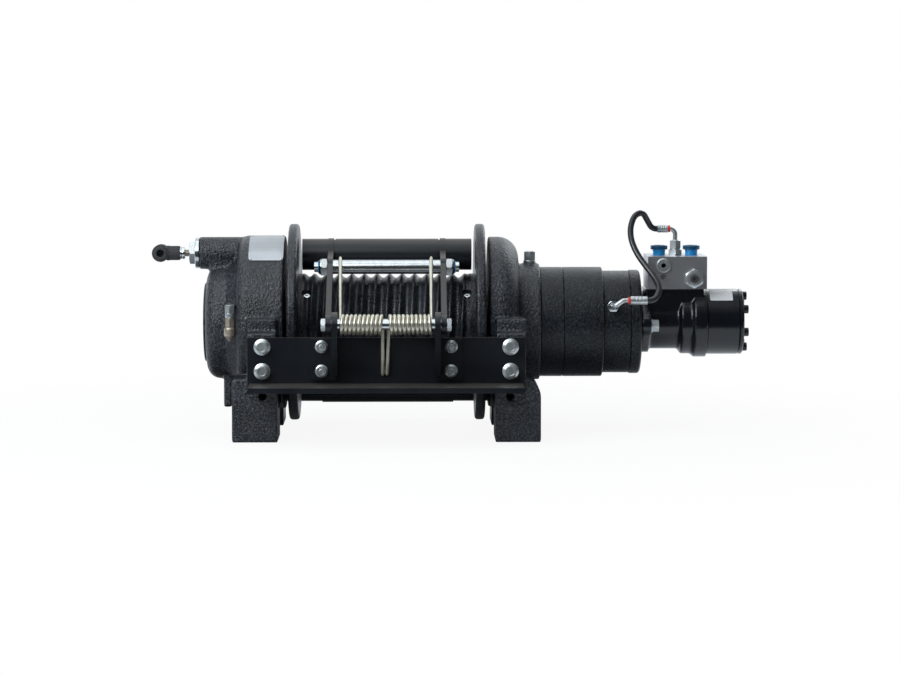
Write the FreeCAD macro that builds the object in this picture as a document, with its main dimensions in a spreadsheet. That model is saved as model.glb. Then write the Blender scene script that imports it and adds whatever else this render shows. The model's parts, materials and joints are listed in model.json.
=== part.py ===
"""Hydraulic drum winch with a spring-loaded rope tensioner, as a parametric FreeCAD document.

Every piece is drawn about the drum axis: +X runs along the axis to the motor, +Y to the rear and
+Z up. One placement then lifts them all, so that the feet stand on Z = 0.
"""
import FreeCAD, Part
import Sketcher
import math
import os

SIZES = {
    # drum: grooved barrel between two flanges, carried at its journals
    "axis_height": 153.0,
    "barrel_radius": 67.6,
    "barrel_length": 245.0,
    "flange_radius": 137.0,
    "flange_thick": 13.5,
    "flange_rim": 4.0,
    "spigot_radius": 58.0,
    "journal_radius": 45.0,
    "journal_length": 26.0,
    "groove_radius": 7.0,
    "groove_depth": 5.8,
    "groove_pitch": 17.5,
    "groove_count": 12.0,
    "side_gap": 5.0,
    # clearances
    "run_gap": 0.08,
    "seat_gap": 0.05,
    "bore_end_gap": 3.0,
    # gear housing on the left
    "gear_radius": 121.0,
    "gear_length": 65.0,
    "gear_shoulder": 14.0,
    "gear_step_radius": 95.0,
    "gear_cone_length": 16.0,
    "gear_nose_radius": 79.0,
    "gear_nose_length": 29.0,
    "gear_nose_round": 19.0,
    "cover_radius": 55.0,
    "cover_thick": 3.2,
    "lug_plate_thick": 11.0,
    "lug_plate_width": 76.0,
    "lug_plate_drop": 116.0,
    "lug_plate_offset": 75.0,
    # clutch actuator above the gear housing
    "clutch_height": 96.6,
    "clutch_radius": 22.5,
    "clutch_reach": 121.0,
    "clutch_web": 40.0,
    "clutch_web_foot": 40.0,
    "clutch_web_length": 39.0,
    "clutch_disc_radius": 21.5,
    "clutch_disc_thick": 5.5,
    "clutch_hex": 29.5,
    "clutch_hex_thick": 8.2,
    "nipple_radius": 4.8,
    "nipple_length": 6.3,
    "collar_radius": 8.8,
    "collar_length": 6.8,
    "elbow_radius": 10.0,
    "elbow_length": 16.0,
    "elbow_head_radius": 12.0,
    "elbow_overlap": 1.0,
    "elbow_head_depth": 25.0,
    "elbow_mouth_radius": 5.0,
    "elbow_mouth_depth": 14.0,
    # relief valve on the front of the gear housing
    "relief_offset": 73.5,
    "relief_rise": 25.7,
    "relief_boss_radius": 9.0,
    "relief_boss_face": 93.0,
    "relief_elbow_radius": 6.8,
    "relief_elbow_length": 16.0,
    "relief_stem_radius": 5.0,
    "relief_stem_length": 10.0,
    "relief_neck_radius": 6.0,
    "relief_neck_length": 18.0,
    "relief_cap_radius": 8.0,
    "relief_cap_length": 10.0,
    "relief_tip_length": 7.0,
    # motor side housing on the right
    "dome_radius": 119.0,
    "dome_length": 42.0,
    "dome_round": 28.0,
    "neck_radius": 81.0,
    "neck_length": 30.0,
    "breather_offset": 16.5,
    "breather_boss_radius": 10.0,
    "breather_boss_top": 83.0,
    "breather_flange_radius": 8.6,
    "breather_flange_thick": 3.5,
    "breather_hex": 15.0,
    "breather_height": 12.5,
    # feet, alike at all four corners
    "foot_gap": 7.0,
    "foot_width": 62.0,
    "foot_front": 146.0,
    "foot_depth": 88.0,
    "foot_height_left": 87.0,
    "foot_height_right": 89.5,
    "foot_round_left": 6.0,
    "foot_round_right": 29.0,
    "pad_inset": 1.0,
    "pad_proud": 1.0,
    "pad_width": 40.0,
    "pad_depth": 40.0,
    "pad_top": 4.0,
    "pad_bottom": 107.0,
    "pad_round": 8.0,
    "shelf_front": 128.0,
    "shelf_depth": 44.0,
    "shelf_top": 14.0,
    "shelf_bottom": 40.0,
    "shelf_inset": 2.0,
    "base_hole_radius": 7.0,
    "base_hole_depth": 32.0,
    "base_hole_inset": 30.0,
    "base_hole_y": 111.0,
    "front_hole_radius": 5.1,
    "front_hole_depth": 25.0,
    "front_hole_inset": 20.0,
    "front_hole_drop": 90.0,
    # brake stack between the neck and the motor
    "brake_radius": 76.6,
    "ring_length": 32.0,
    "brake_length": 55.0,
    "cylinder_radius": 71.4,
    "cylinder_length": 38.0,
    "adapter_radius": 72.5,
    "adapter_length": 15.0,
    "adapter_round": 4.0,
    "seam": 1.0,
    # motor
    "motor_flange_thick": 13.0,
    "motor_flange_span": 53.0,
    "motor_flange_ear": 17.0,
    "motor_flange_boss": 43.0,
    "motor_radius": 38.0,
    "motor_barrel_length": 40.0,
    "motor_step_radius": 45.0,
    "motor_step_length": 18.0,
    "motor_rib_radius": 49.5,
    "motor_rib_length": 22.0,
    "motor_taper": 5.0,
    "gear_set_radius": 45.6,
    "gear_set_length": 45.0,
    "end_cover_length": 6.0,
    "end_cover_edge": 1.5,
    # valve block on the motor
    "block_gap": 9.5,
    "block_length": 82.0,
    "port_pad_overhang": 3.0,
    "block_depth": 84.0,
    "block_bottom": 48.2,
    "block_height": 45.2,
    "port_pad_inset": 3.0,
    "port_pad_depth": 68.0,
    "port_offset": 22.6,
    "port_radius": 9.0,
    "port_depth": 14.0,
    "cap_stem_radius": 9.0,
    "cap_stem_length": 7.3,
    "cap_rim_radius": 12.0,
    "cap_rim_thick": 6.3,
    "cap_plug_depth": 10.0,
    "plug_x": 21.3,
    "plug_rise": 33.0,
    "plug_radius": 9.0,
    "plug_thick": 3.5,
    "cartridge_x": 63.7,
    "cartridge_rise": 15.0,
    "cartridge_hex": 24.0,
    "cartridge_thick": 9.0,
    "adjuster_radius": 6.0,
    "adjuster_length": 6.0,
    "bleed_x": 21.3,
    "bleed_rise": 17.0,
    "bleed_radius": 3.5,
    "bleed_depth": 8.0,
    # brake hose and its fittings
    "fitting_base_hex": 17.5,
    "fitting_base_height": 8.0,
    "fitting_nut_hex": 14.4,
    "fitting_nut_height": 13.5,
    "tube_radius": 3.2,
    "ferrule_radius": 5.4,
    "hose_radius": 4.25,
    "fitting_rise": 130.0,
    "fitting_bend": 8.0,
    "ferrule_reach": 24.9,
    "ferrule_length": 14.5,
    "low_ferrule_radius": 5.9,
    "low_ferrule_offset": 22.7,
    "low_ferrule_length": 23.5,
    "low_ferrule_rise": 36.0,
    "brake_port_offset": 11.8,
    "brake_port_rise": 27.0,
    "brake_port_boss": 9.0,
    "brake_port_face": 69.0,
    "brake_port_hex": 14.6,
    "brake_port_nut_length": 10.0,
    "low_tube_reach": 13.0,
    "low_tube_bend": 6.0,
    # angle across the front
    "angle_thick": 7.2,
    "angle_top": -9.4,
    "angle_height": 69.1,
    "angle_foot": 74.0,
    "angle_foot_trim": 3.0,
    # tensioner: pivot, lugs, arms, press tube
    "pivot_y": -176.0,
    "pivot_z": 10.0,
    "pivot_radius": 8.0,
    "pivot_head_radius": 9.5,
    "pivot_head_length": 6.0,
    "lug_inset": 57.0,
    "lug_thick": 8.0,
    "lug_bottom": -60.0,
    "lug_eye_radius": 17.0,
    "lug_base_length": 36.0,
    "lug_base_thick": 6.0,
    "lug_base_drop": 1.0,
    "lug_base_height": 55.6,
    "arm_gap": 0.5,
    "arm_thick": 7.6,
    "arm_eye_radius": 13.0,
    "arm_waist": 11.0,
    "arm_end_radius": 22.6,
    "tube_y": 0.0,
    "tube_z": 94.6,
    "press_radius": 21.9,
    "press_inset": 9.0,
    "press_neck_radius": 14.0,
    "press_collar_radius": 20.8,
    "press_collar_length": 2.5,
    "rod_y": -60.0,
    "rod_z": 80.6,
    "rod_radius": 9.8,
    "rod_bolt_radius": 7.0,
    "rod_nut_hex": 23.0,
    "rod_nut_thick": 9.1,
    "rod_collar_radius": 9.6,
    "rod_collar_length": 3.2,
    "rod_bolt_end": 5.8,
    # torsion springs on the pivot
    "wire_radius": 2.6,
    "coil_radius": 11.75,
    "coil_inner_left": 5.0,
    "coil_inner_right": 3.8,
    "coil_gap_left": 3.6,
    "coil_gap_right": 4.6,
    "coil_pitch": 5.5,
    "leg_bottom": -61.0,
    "leg_foot_left": 5.0,
    "leg_foot_right": 1.0,
    "leg_splay_left": 2.0,
    "leg_splay_right": 0.3,
    "leg_over": 7.0,
    "spring_gap": 0.3,
    # rod between the rear feet
    "tie_y": 125.0,
    "tie_z": -116.0,
    "tie_radius": 10.5,
    "tie_end_radius": 9.0,
    "tie_middle_length": 189.0,
}

doc = FreeCAD.newDocument("Winch")
sheet = doc.addObject("Spreadsheet::Sheet", "Sizes")


class Size:
    """A length as a number and as the sheet expression that it comes from."""

    def __init__(self, value, text):
        self.value = value
        self.text = text

    def __add__(self, other):
        other = as_size(other)
        return Size(self.value + other.value, f"({self.text} + {other.text})")

    def __sub__(self, other):
        other = as_size(other)
        return Size(self.value - other.value, f"({self.text} - {other.text})")

    def __mul__(self, other):
        other = as_size(other)
        return Size(self.value * other.value, f"({self.text} * {other.text})")

    def __truediv__(self, other):
        other = as_size(other)
        return Size(self.value / other.value, f"({self.text} / {other.text})")

    def __neg__(self):
        return Size(-self.value, f"(0 - {self.text})")

    def __radd__(self, other):
        return as_size(other) + self

    def __rsub__(self, other):
        return as_size(other) - self

    def __rmul__(self, other):
        return as_size(other) * self


def as_size(item):
    """Let a plain number stand where a size can stand."""
    return item if isinstance(item, Size) else Size(float(item), f"{float(item):g}")


class Sheet:
    """The sheet's sizes by name, as in S.barrel_radius."""


S = Sheet()
for row, (name, number) in enumerate(SIZES.items(), 1):
    sheet.set(f"A{row}", name)
    sheet.set(f"B{row}", str(number))
    sheet.setAlias(f"B{row}", name)
    setattr(S, name, Size(number, f"Sizes.{name}"))
doc.recompute()

NODES = []
HEX_RATIO = math.cos(math.pi / 6)  # across flats over across corners
BEND_SHARE = 0.45  # part of a run that the bend at its end may use up


# Helpers for sketches, bodies and bound properties

def bind(thing, **properties):
    """Set properties from sizes and tie them to the sheet."""
    for name, size in properties.items():
        size = as_size(size)
        setattr(thing, name, size.value)
        thing.setExpression(name, size.text)
    return thing


def place(thing, x=0, y=0, z=0):
    """Put a sub-part at a point that follows the sheet."""
    for axis, size in zip("xyz", (x, y, z)):
        size = as_size(size)
        thing.setExpression(f"Placement.Base.{axis}", size.text)
    thing.Placement.Base = vector(x, y, z)
    return thing


def vector(x=0, y=0, z=0):
    return FreeCAD.Vector(*(as_size(size).value for size in (x, y, z)))


def finish(thing, label, x=0, y=0, z=0):
    """Name a sub-part and place it, its height counted from the drum axis."""
    thing.Label = label
    place(thing, x, y, S.axis_height + z)
    NODES.append(thing)
    return thing


def new_body(label, x=0, y=0, z=0):
    return finish(doc.addObject("PartDesign::Body", f"Body_{label}"), label, x, y, z)


def origin_plane(body, role):
    return next(item for item in body.Origin.OriginFeatures if item.Role == role)


def new_sketch(body, role, offset=0):
    """Sketch on one of the body's own origin planes, moved along the plane's normal."""
    sketch = body.newObject("Sketcher::SketchObject", "Sketch")
    sketch.AttachmentSupport = [(origin_plane(body, role), "")]
    sketch.MapMode = "FlatFace"
    size = as_size(offset)
    sketch.AttachmentOffset = FreeCAD.Placement(vector(0, 0, size), FreeCAD.Rotation())
    sketch.setExpression("AttachmentOffset.Base.z", size.text)
    return sketch


def pin(sketch, geometry, point, x, y):
    """Tie a point of the sketch to its two coordinates."""
    for kind, axis, size in (("DistanceX", -2, as_size(x)), ("DistanceY", -1, as_size(y))):
        if size.text == "0":
            sketch.addConstraint(Sketcher.Constraint("PointOnObject", geometry, point, axis))
        else:
            rule = Sketcher.Constraint(kind, -1, 1, geometry, point, size.value)
            sketch.setExpression(f"Constraints[{sketch.addConstraint(rule)}]", size.text)


def add_outline(sketch, points):
    """Closed outline of straight lines through the points."""
    first = sketch.GeometryCount
    count = len(points)
    for index, corner in enumerate(points):
        following = points[(index + 1) % count]
        sketch.addGeometry(Part.LineSegment(vector(*corner), vector(*following)))
    for index in range(count):
        following = first + (index + 1) % count
        sketch.addConstraint(Sketcher.Constraint("Coincident", first + index, 2, following, 1))
    for index, corner in enumerate(points):
        pin(sketch, first + index, 1, *corner)


def add_circle(sketch, x, y, radius):
    """Circle tied to its centre and radius."""
    radius = as_size(radius)
    geometry = sketch.addGeometry(Part.Circle(vector(x, y), vector(0, 0, 1), radius.value))
    pin(sketch, geometry, 3, x, y)
    rule = sketch.addConstraint(Sketcher.Constraint("Radius", geometry, radius.value))
    sketch.setExpression(f"Constraints[{rule}]", radius.text)


def revolve(body, points, kind="PartDesign::Revolution"):
    """Turn an outline in the XZ plane about the X axis, to add it or to cut it away."""
    sketch = new_sketch(body, "XZ_Plane")
    add_outline(sketch, points)
    turned = body.newObject(kind, "Turned")
    turned.Profile = sketch
    turned.ReferenceAxis = (sketch, ["H_Axis"])
    turned.Angle = 360
    doc.recompute()
    return turned


def pad(body, sketch, length, both_ways=False, away=False):
    """Thicken a sketch by a length, to both sides or against the plane's normal if asked."""
    thick = body.newObject("PartDesign::Pad", "Pad")
    thick.Profile = sketch
    bind(thick, Length=length)
    thick.Midplane = both_ways
    thick.Reversed = away
    doc.recompute()
    return thick


def pocket(body, sketch, length, away=False):
    """Cut a sketch into the body and make sure that it took something away."""
    before = body.Shape.Volume
    cut = body.newObject("PartDesign::Pocket", "Pocket")
    cut.Profile = sketch
    bind(cut, Length=length)
    cut.Reversed = away
    doc.recompute()
    if body.Shape.Volume >= before:
        raise RuntimeError(f"a pocket of {body.Label} cuts nothing")
    return cut


def edges_where(shape, test):
    """Names of the edges that pass a test of the edge and its middle point."""
    names = []
    for number, edge in enumerate(shape.Edges, 1):
        middle = edge.valueAt((edge.FirstParameter + edge.LastParameter) / 2)
        if test(edge, middle):
            names.append(f"Edge{number}")
    return names


def rim(x, radius):
    """Test for the circle about the X axis at one place and of one radius."""
    def test(edge, middle):
        if edge.Curve.TypeId != "Part::GeomCircle":
            return False
        centre = edge.Curve.Center
        on_axis = math.hypot(centre.y, centre.z) < 0.01
        return on_axis and abs(centre.x - x.value) < 0.01 and abs(edge.Curve.Radius - radius.value) < 0.01
    return test


def dress(body, kind, test, size):
    """Fillet or chamfer the edges of the body's last feature that pass the test."""
    base = body.Tip
    names = edges_where(base.Shape, test)
    if not names:
        raise RuntimeError(f"no edge to dress on {body.Label}")
    feature = body.newObject(f"PartDesign::{kind}", kind)
    feature.Base = (base, names)
    size = as_size(size)
    bind(feature, **{"Radius" if kind == "Fillet" else "Size": size})
    doc.recompute()
    return feature


def hex_points(x, y, across):
    """Corners of a hexagon with flats to the top and bottom."""
    flat = across / 2
    corner = flat / HEX_RATIO
    return [(x + corner, y), (x + corner / 2, y + flat), (x - corner / 2, y + flat),
            (x - corner, y), (x - corner / 2, y - flat), (x + corner / 2, y - flat)]


# Places that several pieces share, worked out from the sizes

flange_face = S.barrel_length / 2 + S.flange_thick
housing_face = flange_face + S.side_gap
bearing_floor = flange_face + S.journal_length + S.bore_end_gap
gear_end = housing_face + S.gear_length
nose_start = gear_end + S.gear_cone_length
nose_end = nose_start + S.gear_nose_length
neck_start = housing_face + S.dome_length
neck_end = neck_start + S.neck_length
ring_end = neck_end + S.ring_length
brake_end = ring_end + S.brake_length
cylinder_end = brake_end + S.cylinder_length
adapter_end = cylinder_end + S.adapter_length
motor_face = adapter_end + S.motor_flange_thick
barrel_end = motor_face + S.motor_barrel_length
step_end = barrel_end + S.motor_step_length
rib_end = step_end + S.motor_rib_length
gear_set_end = rib_end + S.gear_set_length
foot_inner = housing_face + S.foot_gap
relief_x = housing_face + S.relief_offset
breather_x = neck_start + S.breather_offset
lug_inner = S.barrel_length / 2 - S.lug_inset
arm_inner = lug_inner + S.lug_thick + S.arm_gap
arm_outer = arm_inner + S.arm_thick
block_top = S.block_bottom + S.block_height
block_left = adapter_end + S.block_gap
block_middle = block_left + S.block_length / 2
ferrule_end = block_middle - S.ferrule_reach
brake_port_x = brake_end + S.brake_port_offset
plate_front = -S.foot_front - S.angle_thick


# Drum

def make_drum_barrel():
    """Grooved barrel with the two spigots that hold the flanges and the journals beyond them."""
    body = new_body("drum_barrel")
    half = S.barrel_length / 2
    journal_end = flange_face + S.journal_length
    revolve(body, [
        (-half, 0), (-half, S.barrel_radius), (half, S.barrel_radius), (half, S.spigot_radius),
        (flange_face, S.spigot_radius), (flange_face, S.journal_radius),
        (journal_end, S.journal_radius), (journal_end, 0)])
    revolve(body, [
        (-journal_end, 0), (-journal_end, S.journal_radius), (-flange_face, S.journal_radius),
        (-flange_face, S.spigot_radius), (-half, S.spigot_radius), (-half, 0)])
    span = S.groove_pitch * (S.groove_count - 1)
    sketch = new_sketch(body, "XZ_Plane")
    add_circle(sketch, -span / 2, S.barrel_radius - S.groove_depth + S.groove_radius, S.groove_radius)
    groove = body.newObject("PartDesign::Groove", "RopeGroove")
    groove.Profile = sketch
    groove.ReferenceAxis = (sketch, ["H_Axis"])
    groove.Angle = 360
    doc.recompute()
    pattern = body.newObject("PartDesign::LinearPattern", "RopeGrooves")
    pattern.Originals = [groove]
    pattern.Direction = (sketch, ["H_Axis"])
    bind(pattern, Length=span)
    pattern.Occurrences = round(S.groove_count.value)
    pattern.setExpression("Occurrences", S.groove_count.text)
    body.Tip = pattern
    doc.recompute()


def make_drum_flange(label, side):
    """Disc that keeps the rope on the barrel, seated on its spigot against the shoulder."""
    body = new_body(label)
    inner = S.barrel_length / 2 * side
    outer = flange_face * side
    bore = S.spigot_radius + S.seat_gap
    revolve(body, [
        (inner, bore), (inner, S.flange_radius), (outer, S.flange_radius), (outer, bore)])
    on_rim = rim(inner, S.flange_radius)
    off_rim = rim(outer, S.flange_radius)
    dress(body, "Fillet", lambda edge, at: on_rim(edge, at) or off_rim(edge, at), S.flange_rim)


# Housings and feet

def pad_back(body, front, depth, side, left, right, bottom, top):
    """Block behind a plane across the front, between two distances from the drum's middle."""
    sketch = new_sketch(body, "XZ_Plane", front)
    add_outline(sketch, [(side * left, bottom), (side * right, bottom), (side * right, top),
                         (side * left, top)])
    pad(body, sketch, depth, away=True)


def pad_corner(body, front, depth, x, z, radius):
    """Round bar behind a plane across the front, for a rounded corner."""
    sketch = new_sketch(body, "XZ_Plane", front)
    add_circle(sketch, x, z, radius)
    pad(body, sketch, depth, away=True)


def add_feet(body, side, height, corner):
    """Front and rear foot, each with a machined pad that runs up the housing, and a shelf."""
    ground = -S.axis_height
    outer = foot_inner + S.foot_width
    top = ground + height
    inner_pad = foot_inner + S.pad_inset
    outer_pad = inner_pad + S.pad_width
    bottom_pad = -S.pad_bottom
    edge = S.pad_round
    foot_depth = S.foot_depth - S.pad_proud
    planes = ((S.foot_front - S.pad_proud, S.foot_front),
              (S.foot_depth - S.foot_front, S.pad_depth - S.foot_front))
    for foot_plane, pad_plane in planes:
        pad_back(body, foot_plane, foot_depth, side, foot_inner, outer - corner, ground, top)
        pad_back(body, foot_plane, foot_depth, side, foot_inner, outer, ground, top - corner)
        pad_corner(body, foot_plane, foot_depth, side * (outer - corner), top - corner, corner)
        pad_back(body, pad_plane, S.pad_depth, side, inner_pad, outer_pad, bottom_pad + edge,
                 -S.pad_top)
        pad_back(body, pad_plane, S.pad_depth, side, inner_pad + edge, outer_pad - edge,
                 bottom_pad, bottom_pad + edge)
        for x in (inner_pad + edge, outer_pad - edge):
            pad_corner(body, pad_plane, S.pad_depth, side * x, bottom_pad + edge, edge)
    inner_shelf = foot_inner + S.shelf_inset
    pad_back(body, S.shelf_front, S.shelf_depth, side, inner_shelf, inner_shelf + S.pad_width,
             -S.shelf_bottom, S.shelf_top)


def add_tapped_holes(body, side):
    """Blind holes up into each foot, and one into the front of the front foot."""
    sketch = new_sketch(body, "XY_Plane", -S.axis_height)
    for face in (-1, 1):
        add_circle(sketch, side * (foot_inner + S.base_hole_inset), face * S.base_hole_y,
                   S.base_hole_radius)
    pocket(body, sketch, S.base_hole_depth, away=True)
    sketch = new_sketch(body, "XZ_Plane", S.foot_front)
    add_circle(sketch, side * (foot_inner + S.front_hole_inset), -S.front_hole_drop,
               S.front_hole_radius)
    pocket(body, sketch, S.front_hole_depth)


def make_gear_housing():
    """Casting that holds the planetary gears and the left journal, with the clutch boss on top."""
    body = new_body("gear_housing")
    bore = S.journal_radius + S.run_gap
    revolve(body, [
        (-housing_face, bore), (-housing_face, S.gear_radius), (-gear_end, S.gear_radius),
        (-gear_end, S.gear_step_radius), (-nose_start, S.gear_nose_radius),
        (-nose_end, S.gear_nose_radius), (-nose_end, 0), (-bearing_floor, 0),
        (-bearing_floor, bore)])
    dress(body, "Fillet", rim(-gear_end, S.gear_radius), S.gear_shoulder)
    dress(body, "Fillet", rim(-nose_end, S.gear_nose_radius), S.gear_nose_round)
    sketch = new_sketch(body, "YZ_Plane", -housing_face - S.gear_length / 2)
    add_circle(sketch, 0, S.clutch_height, S.clutch_radius)
    pad(body, sketch, S.clutch_reach - S.gear_length / 2, away=True)
    sketch = new_sketch(body, "YZ_Plane", -gear_end)
    half = S.clutch_web / 2
    add_outline(sketch, [(-half, S.clutch_web_foot), (half, S.clutch_web_foot),
                         (half, S.clutch_height), (-half, S.clutch_height)])
    pad(body, sketch, S.clutch_web_length, away=True)
    sketch = new_sketch(body, "YZ_Plane", -housing_face - S.lug_plate_offset)
    half = S.lug_plate_width / 2
    add_outline(sketch, [(-half, -S.lug_plate_drop), (half, -S.lug_plate_drop), (half, -half),
                         (-half, -half)])
    pad(body, sketch, S.lug_plate_thick, away=True)
    sketch = new_sketch(body, "XZ_Plane", S.relief_boss_face)
    add_circle(sketch, -relief_x, S.relief_rise, S.relief_boss_radius)
    pad(body, sketch, S.relief_boss_face / 2, away=True)
    add_feet(body, -1, S.foot_height_left, S.foot_round_left)
    add_tapped_holes(body, -1)


def make_motor_side_housing():
    """Domed casting that holds the right journal, with a neck for the brake stack."""
    body = new_body("motor_side_housing")
    bore = S.journal_radius + S.run_gap
    revolve(body, [
        (housing_face, bore), (housing_face, S.dome_radius), (neck_start, S.dome_radius),
        (neck_start, S.neck_radius), (neck_end, S.neck_radius), (neck_end, 0),
        (bearing_floor, 0), (bearing_floor, bore)])
    dress(body, "Fillet", rim(neck_start, S.dome_radius), S.dome_round)
    sketch = new_sketch(body, "XY_Plane", S.breather_boss_top)
    add_circle(sketch, breather_x, 0, S.breather_boss_radius)
    pad(body, sketch, S.breather_boss_top / 2, away=True)
    add_feet(body, 1, S.foot_height_right, S.foot_round_right)
    add_tapped_holes(body, 1)


def make_disc(label, start, end, radius, edge):
    """Round section of the machine about the drum axis, its outer edges broken."""
    body = new_body(label)
    revolve(body, [(start, 0), (start, radius), (end, radius), (end, 0)])
    first = rim(start, radius)
    last = rim(end, radius)
    dress(body, "Chamfer", lambda item, at: first(item, at) or last(item, at), edge)


def make_motor_adapter():
    """Round section under the motor, rounded at the motor's end."""
    body = new_body("motor_adapter")
    radius = S.adapter_radius
    revolve(body, [(cylinder_end, 0), (cylinder_end, radius), (adapter_end, radius),
                   (adapter_end, 0)])
    dress(body, "Fillet", rim(adapter_end, radius), S.adapter_round)
    dress(body, "Chamfer", rim(cylinder_end, radius), S.seam)


def make_brake_cylinder():
    """Round section with a spot face in front for the brake line."""
    make_disc("brake_cylinder", brake_end, cylinder_end, S.cylinder_radius, S.seam)
    body = NODES[-1]
    sketch = new_sketch(body, "XZ_Plane", S.brake_port_face)
    add_circle(sketch, brake_port_x, S.brake_port_rise, S.brake_port_boss)
    pad(body, sketch, S.brake_port_face / 2, away=True)


# Pieces that screw into or stand on the castings

def root(size):
    """Square root of a size."""
    return Size(math.sqrt(size.value), f"sqrt({size.text})")


def make_turned(label, points, x=0, y=0, z=0):
    """Round piece about its own axis, parallel to the drum's, through a point."""
    body = new_body(label, x, y, z)
    revolve(body, points)
    return body


def make_clutch():
    """Air cylinder plug, nipple, collar and push-in elbow at the end of the clutch boss."""
    boss_end = housing_face + S.clutch_reach
    disc_end = boss_end + S.clutch_disc_thick
    hex_end = disc_end + S.clutch_hex_thick
    nipple_end = hex_end + S.nipple_length
    collar_end = nipple_end + S.collar_length
    elbow_end = collar_end + S.elbow_length
    rise = S.clutch_height
    plug = make_turned("clutch_plug", [
        (-disc_end, 0), (-disc_end, S.clutch_disc_radius), (-boss_end, S.clutch_disc_radius),
        (-boss_end, 0)], z=rise)
    sketch = new_sketch(plug, "YZ_Plane", -disc_end)
    add_outline(sketch, hex_points(0, 0, S.clutch_hex))
    pad(plug, sketch, S.clutch_hex_thick, away=True)
    make_turned("clutch_nipple", [
        (-nipple_end, 0), (-nipple_end, S.nipple_radius), (-hex_end, S.nipple_radius),
        (-hex_end, 0)], z=rise)
    make_turned("clutch_collar", [
        (-collar_end, 0), (-collar_end, S.collar_radius), (-nipple_end, S.collar_radius),
        (-nipple_end, 0)], z=rise)
    elbow = make_turned("clutch_elbow", [
        (-elbow_end, 0), (-elbow_end, S.elbow_radius), (-collar_end, S.elbow_radius),
        (-collar_end, 0)], z=rise)
    head = elbow_end + S.elbow_head_radius - S.elbow_overlap
    half = S.elbow_head_depth / 2
    sketch = new_sketch(elbow, "XZ_Plane", -half)
    add_circle(sketch, -head, 0, S.elbow_head_radius)
    pad(elbow, sketch, S.elbow_head_depth)
    sketch = new_sketch(elbow, "XZ_Plane", half)
    add_circle(sketch, -head, 0, S.elbow_mouth_radius)
    pocket(elbow, sketch, S.elbow_mouth_depth)


def make_relief():
    """Elbow on the housing's spot face, with the brass relief valve hanging from it."""
    elbow = new_body("relief_elbow", -relief_x, -S.relief_boss_face, S.relief_rise)
    sketch = new_sketch(elbow, "XZ_Plane")
    add_circle(sketch, 0, 0, S.relief_elbow_radius)
    pad(elbow, sketch, S.relief_elbow_length)
    sketch = new_sketch(elbow, "XY_Plane")
    middle = S.relief_elbow_length / 2
    add_circle(sketch, 0, -middle, S.relief_stem_radius)
    pad(elbow, sketch, S.relief_stem_length, away=True)
    stem_end = -S.relief_stem_length
    neck_end = stem_end - S.relief_neck_length
    cap_end = neck_end - S.relief_cap_length
    tip = cap_end - S.relief_tip_length
    valve = new_body("relief_valve", -relief_x, -S.relief_boss_face - middle, S.relief_rise)
    turn_upright(valve, [
        (0, stem_end), (S.relief_neck_radius, stem_end), (S.relief_neck_radius, neck_end),
        (S.relief_cap_radius, neck_end), (S.relief_cap_radius, cap_end), (0, tip)])


def turn_upright(body, points):
    """Turn an outline in the XZ plane about the Z axis."""
    sketch = new_sketch(body, "XZ_Plane")
    add_outline(sketch, points)
    turned = body.newObject("PartDesign::Revolution", "Turned")
    turned.Profile = sketch
    turned.ReferenceAxis = (sketch, ["V_Axis"])
    turned.Angle = 360
    doc.recompute()
    return turned


def make_upright_hex(label, x, across, bottom, height, y=0):
    """Hexagon that stands on a level face."""
    body = new_body(label, x, y, bottom)
    sketch = new_sketch(body, "XY_Plane")
    add_outline(sketch, hex_points(0, 0, across))
    pad(body, sketch, height)
    return body


def make_top_breather():
    """Breather on top of the neck: a round foot and a hexagon cap."""
    body = make_upright_hex("top_breather", breather_x, S.breather_hex,
                            S.breather_boss_top, S.breather_flange_thick + S.breather_height)
    sketch = new_sketch(body, "XY_Plane")
    add_circle(sketch, 0, 0, S.breather_flange_radius)
    pad(body, sketch, S.breather_flange_thick)


# Motor and valve block

def make_motor_body():
    """Motor casting: oval mounting flange, ribbed barrel and the pad that carries the block."""
    body = new_body("motor_body")
    taper = S.motor_taper
    revolve(body, [
        (adapter_end, 0), (adapter_end, S.motor_radius),
        (barrel_end, S.motor_radius), (barrel_end + taper, S.motor_step_radius),
        (step_end, S.motor_step_radius), (step_end + taper, S.motor_rib_radius),
        (rib_end, S.motor_rib_radius), (rib_end, 0)])
    big = S.motor_flange_boss
    small = S.motor_flange_ear
    span = S.motor_flange_span
    slope = (big - small) / span
    rise = root(1 - slope * slope)
    sketch = new_sketch(body, "YZ_Plane", adapter_end)
    near = (big * slope, big * rise)
    far = (span + small * slope, small * rise)
    add_outline(sketch, [
        near, far, (far[0], -far[1]), (near[0], -near[1]),
        (-near[0], -near[1]), (-far[0], -far[1]), (-far[0], far[1]), (-near[0], near[1])])
    pad(body, sketch, S.motor_flange_thick)
    for place_y, radius in ((0, big), (span, small), (-span, small)):
        sketch = new_sketch(body, "YZ_Plane", adapter_end)
        add_circle(sketch, place_y, 0, radius)
        pad(body, sketch, S.motor_flange_thick)
    sketch = new_sketch(body, "XY_Plane", S.block_bottom)
    half = S.motor_rib_radius
    add_outline(sketch, [
        (block_left, -half), (rib_end, -half), (rib_end, half), (block_left, half)])
    pocket(body, sketch, S.motor_rib_radius - S.block_bottom, away=True)
    sketch = new_sketch(body, "XY_Plane")
    left = block_left - S.port_pad_overhang
    right = block_left + S.block_length - S.port_pad_inset
    half = S.port_pad_depth / 2
    add_outline(sketch, [(left, -half), (right, -half), (right, half), (left, half)])
    pad(body, sketch, S.block_bottom)


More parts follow.
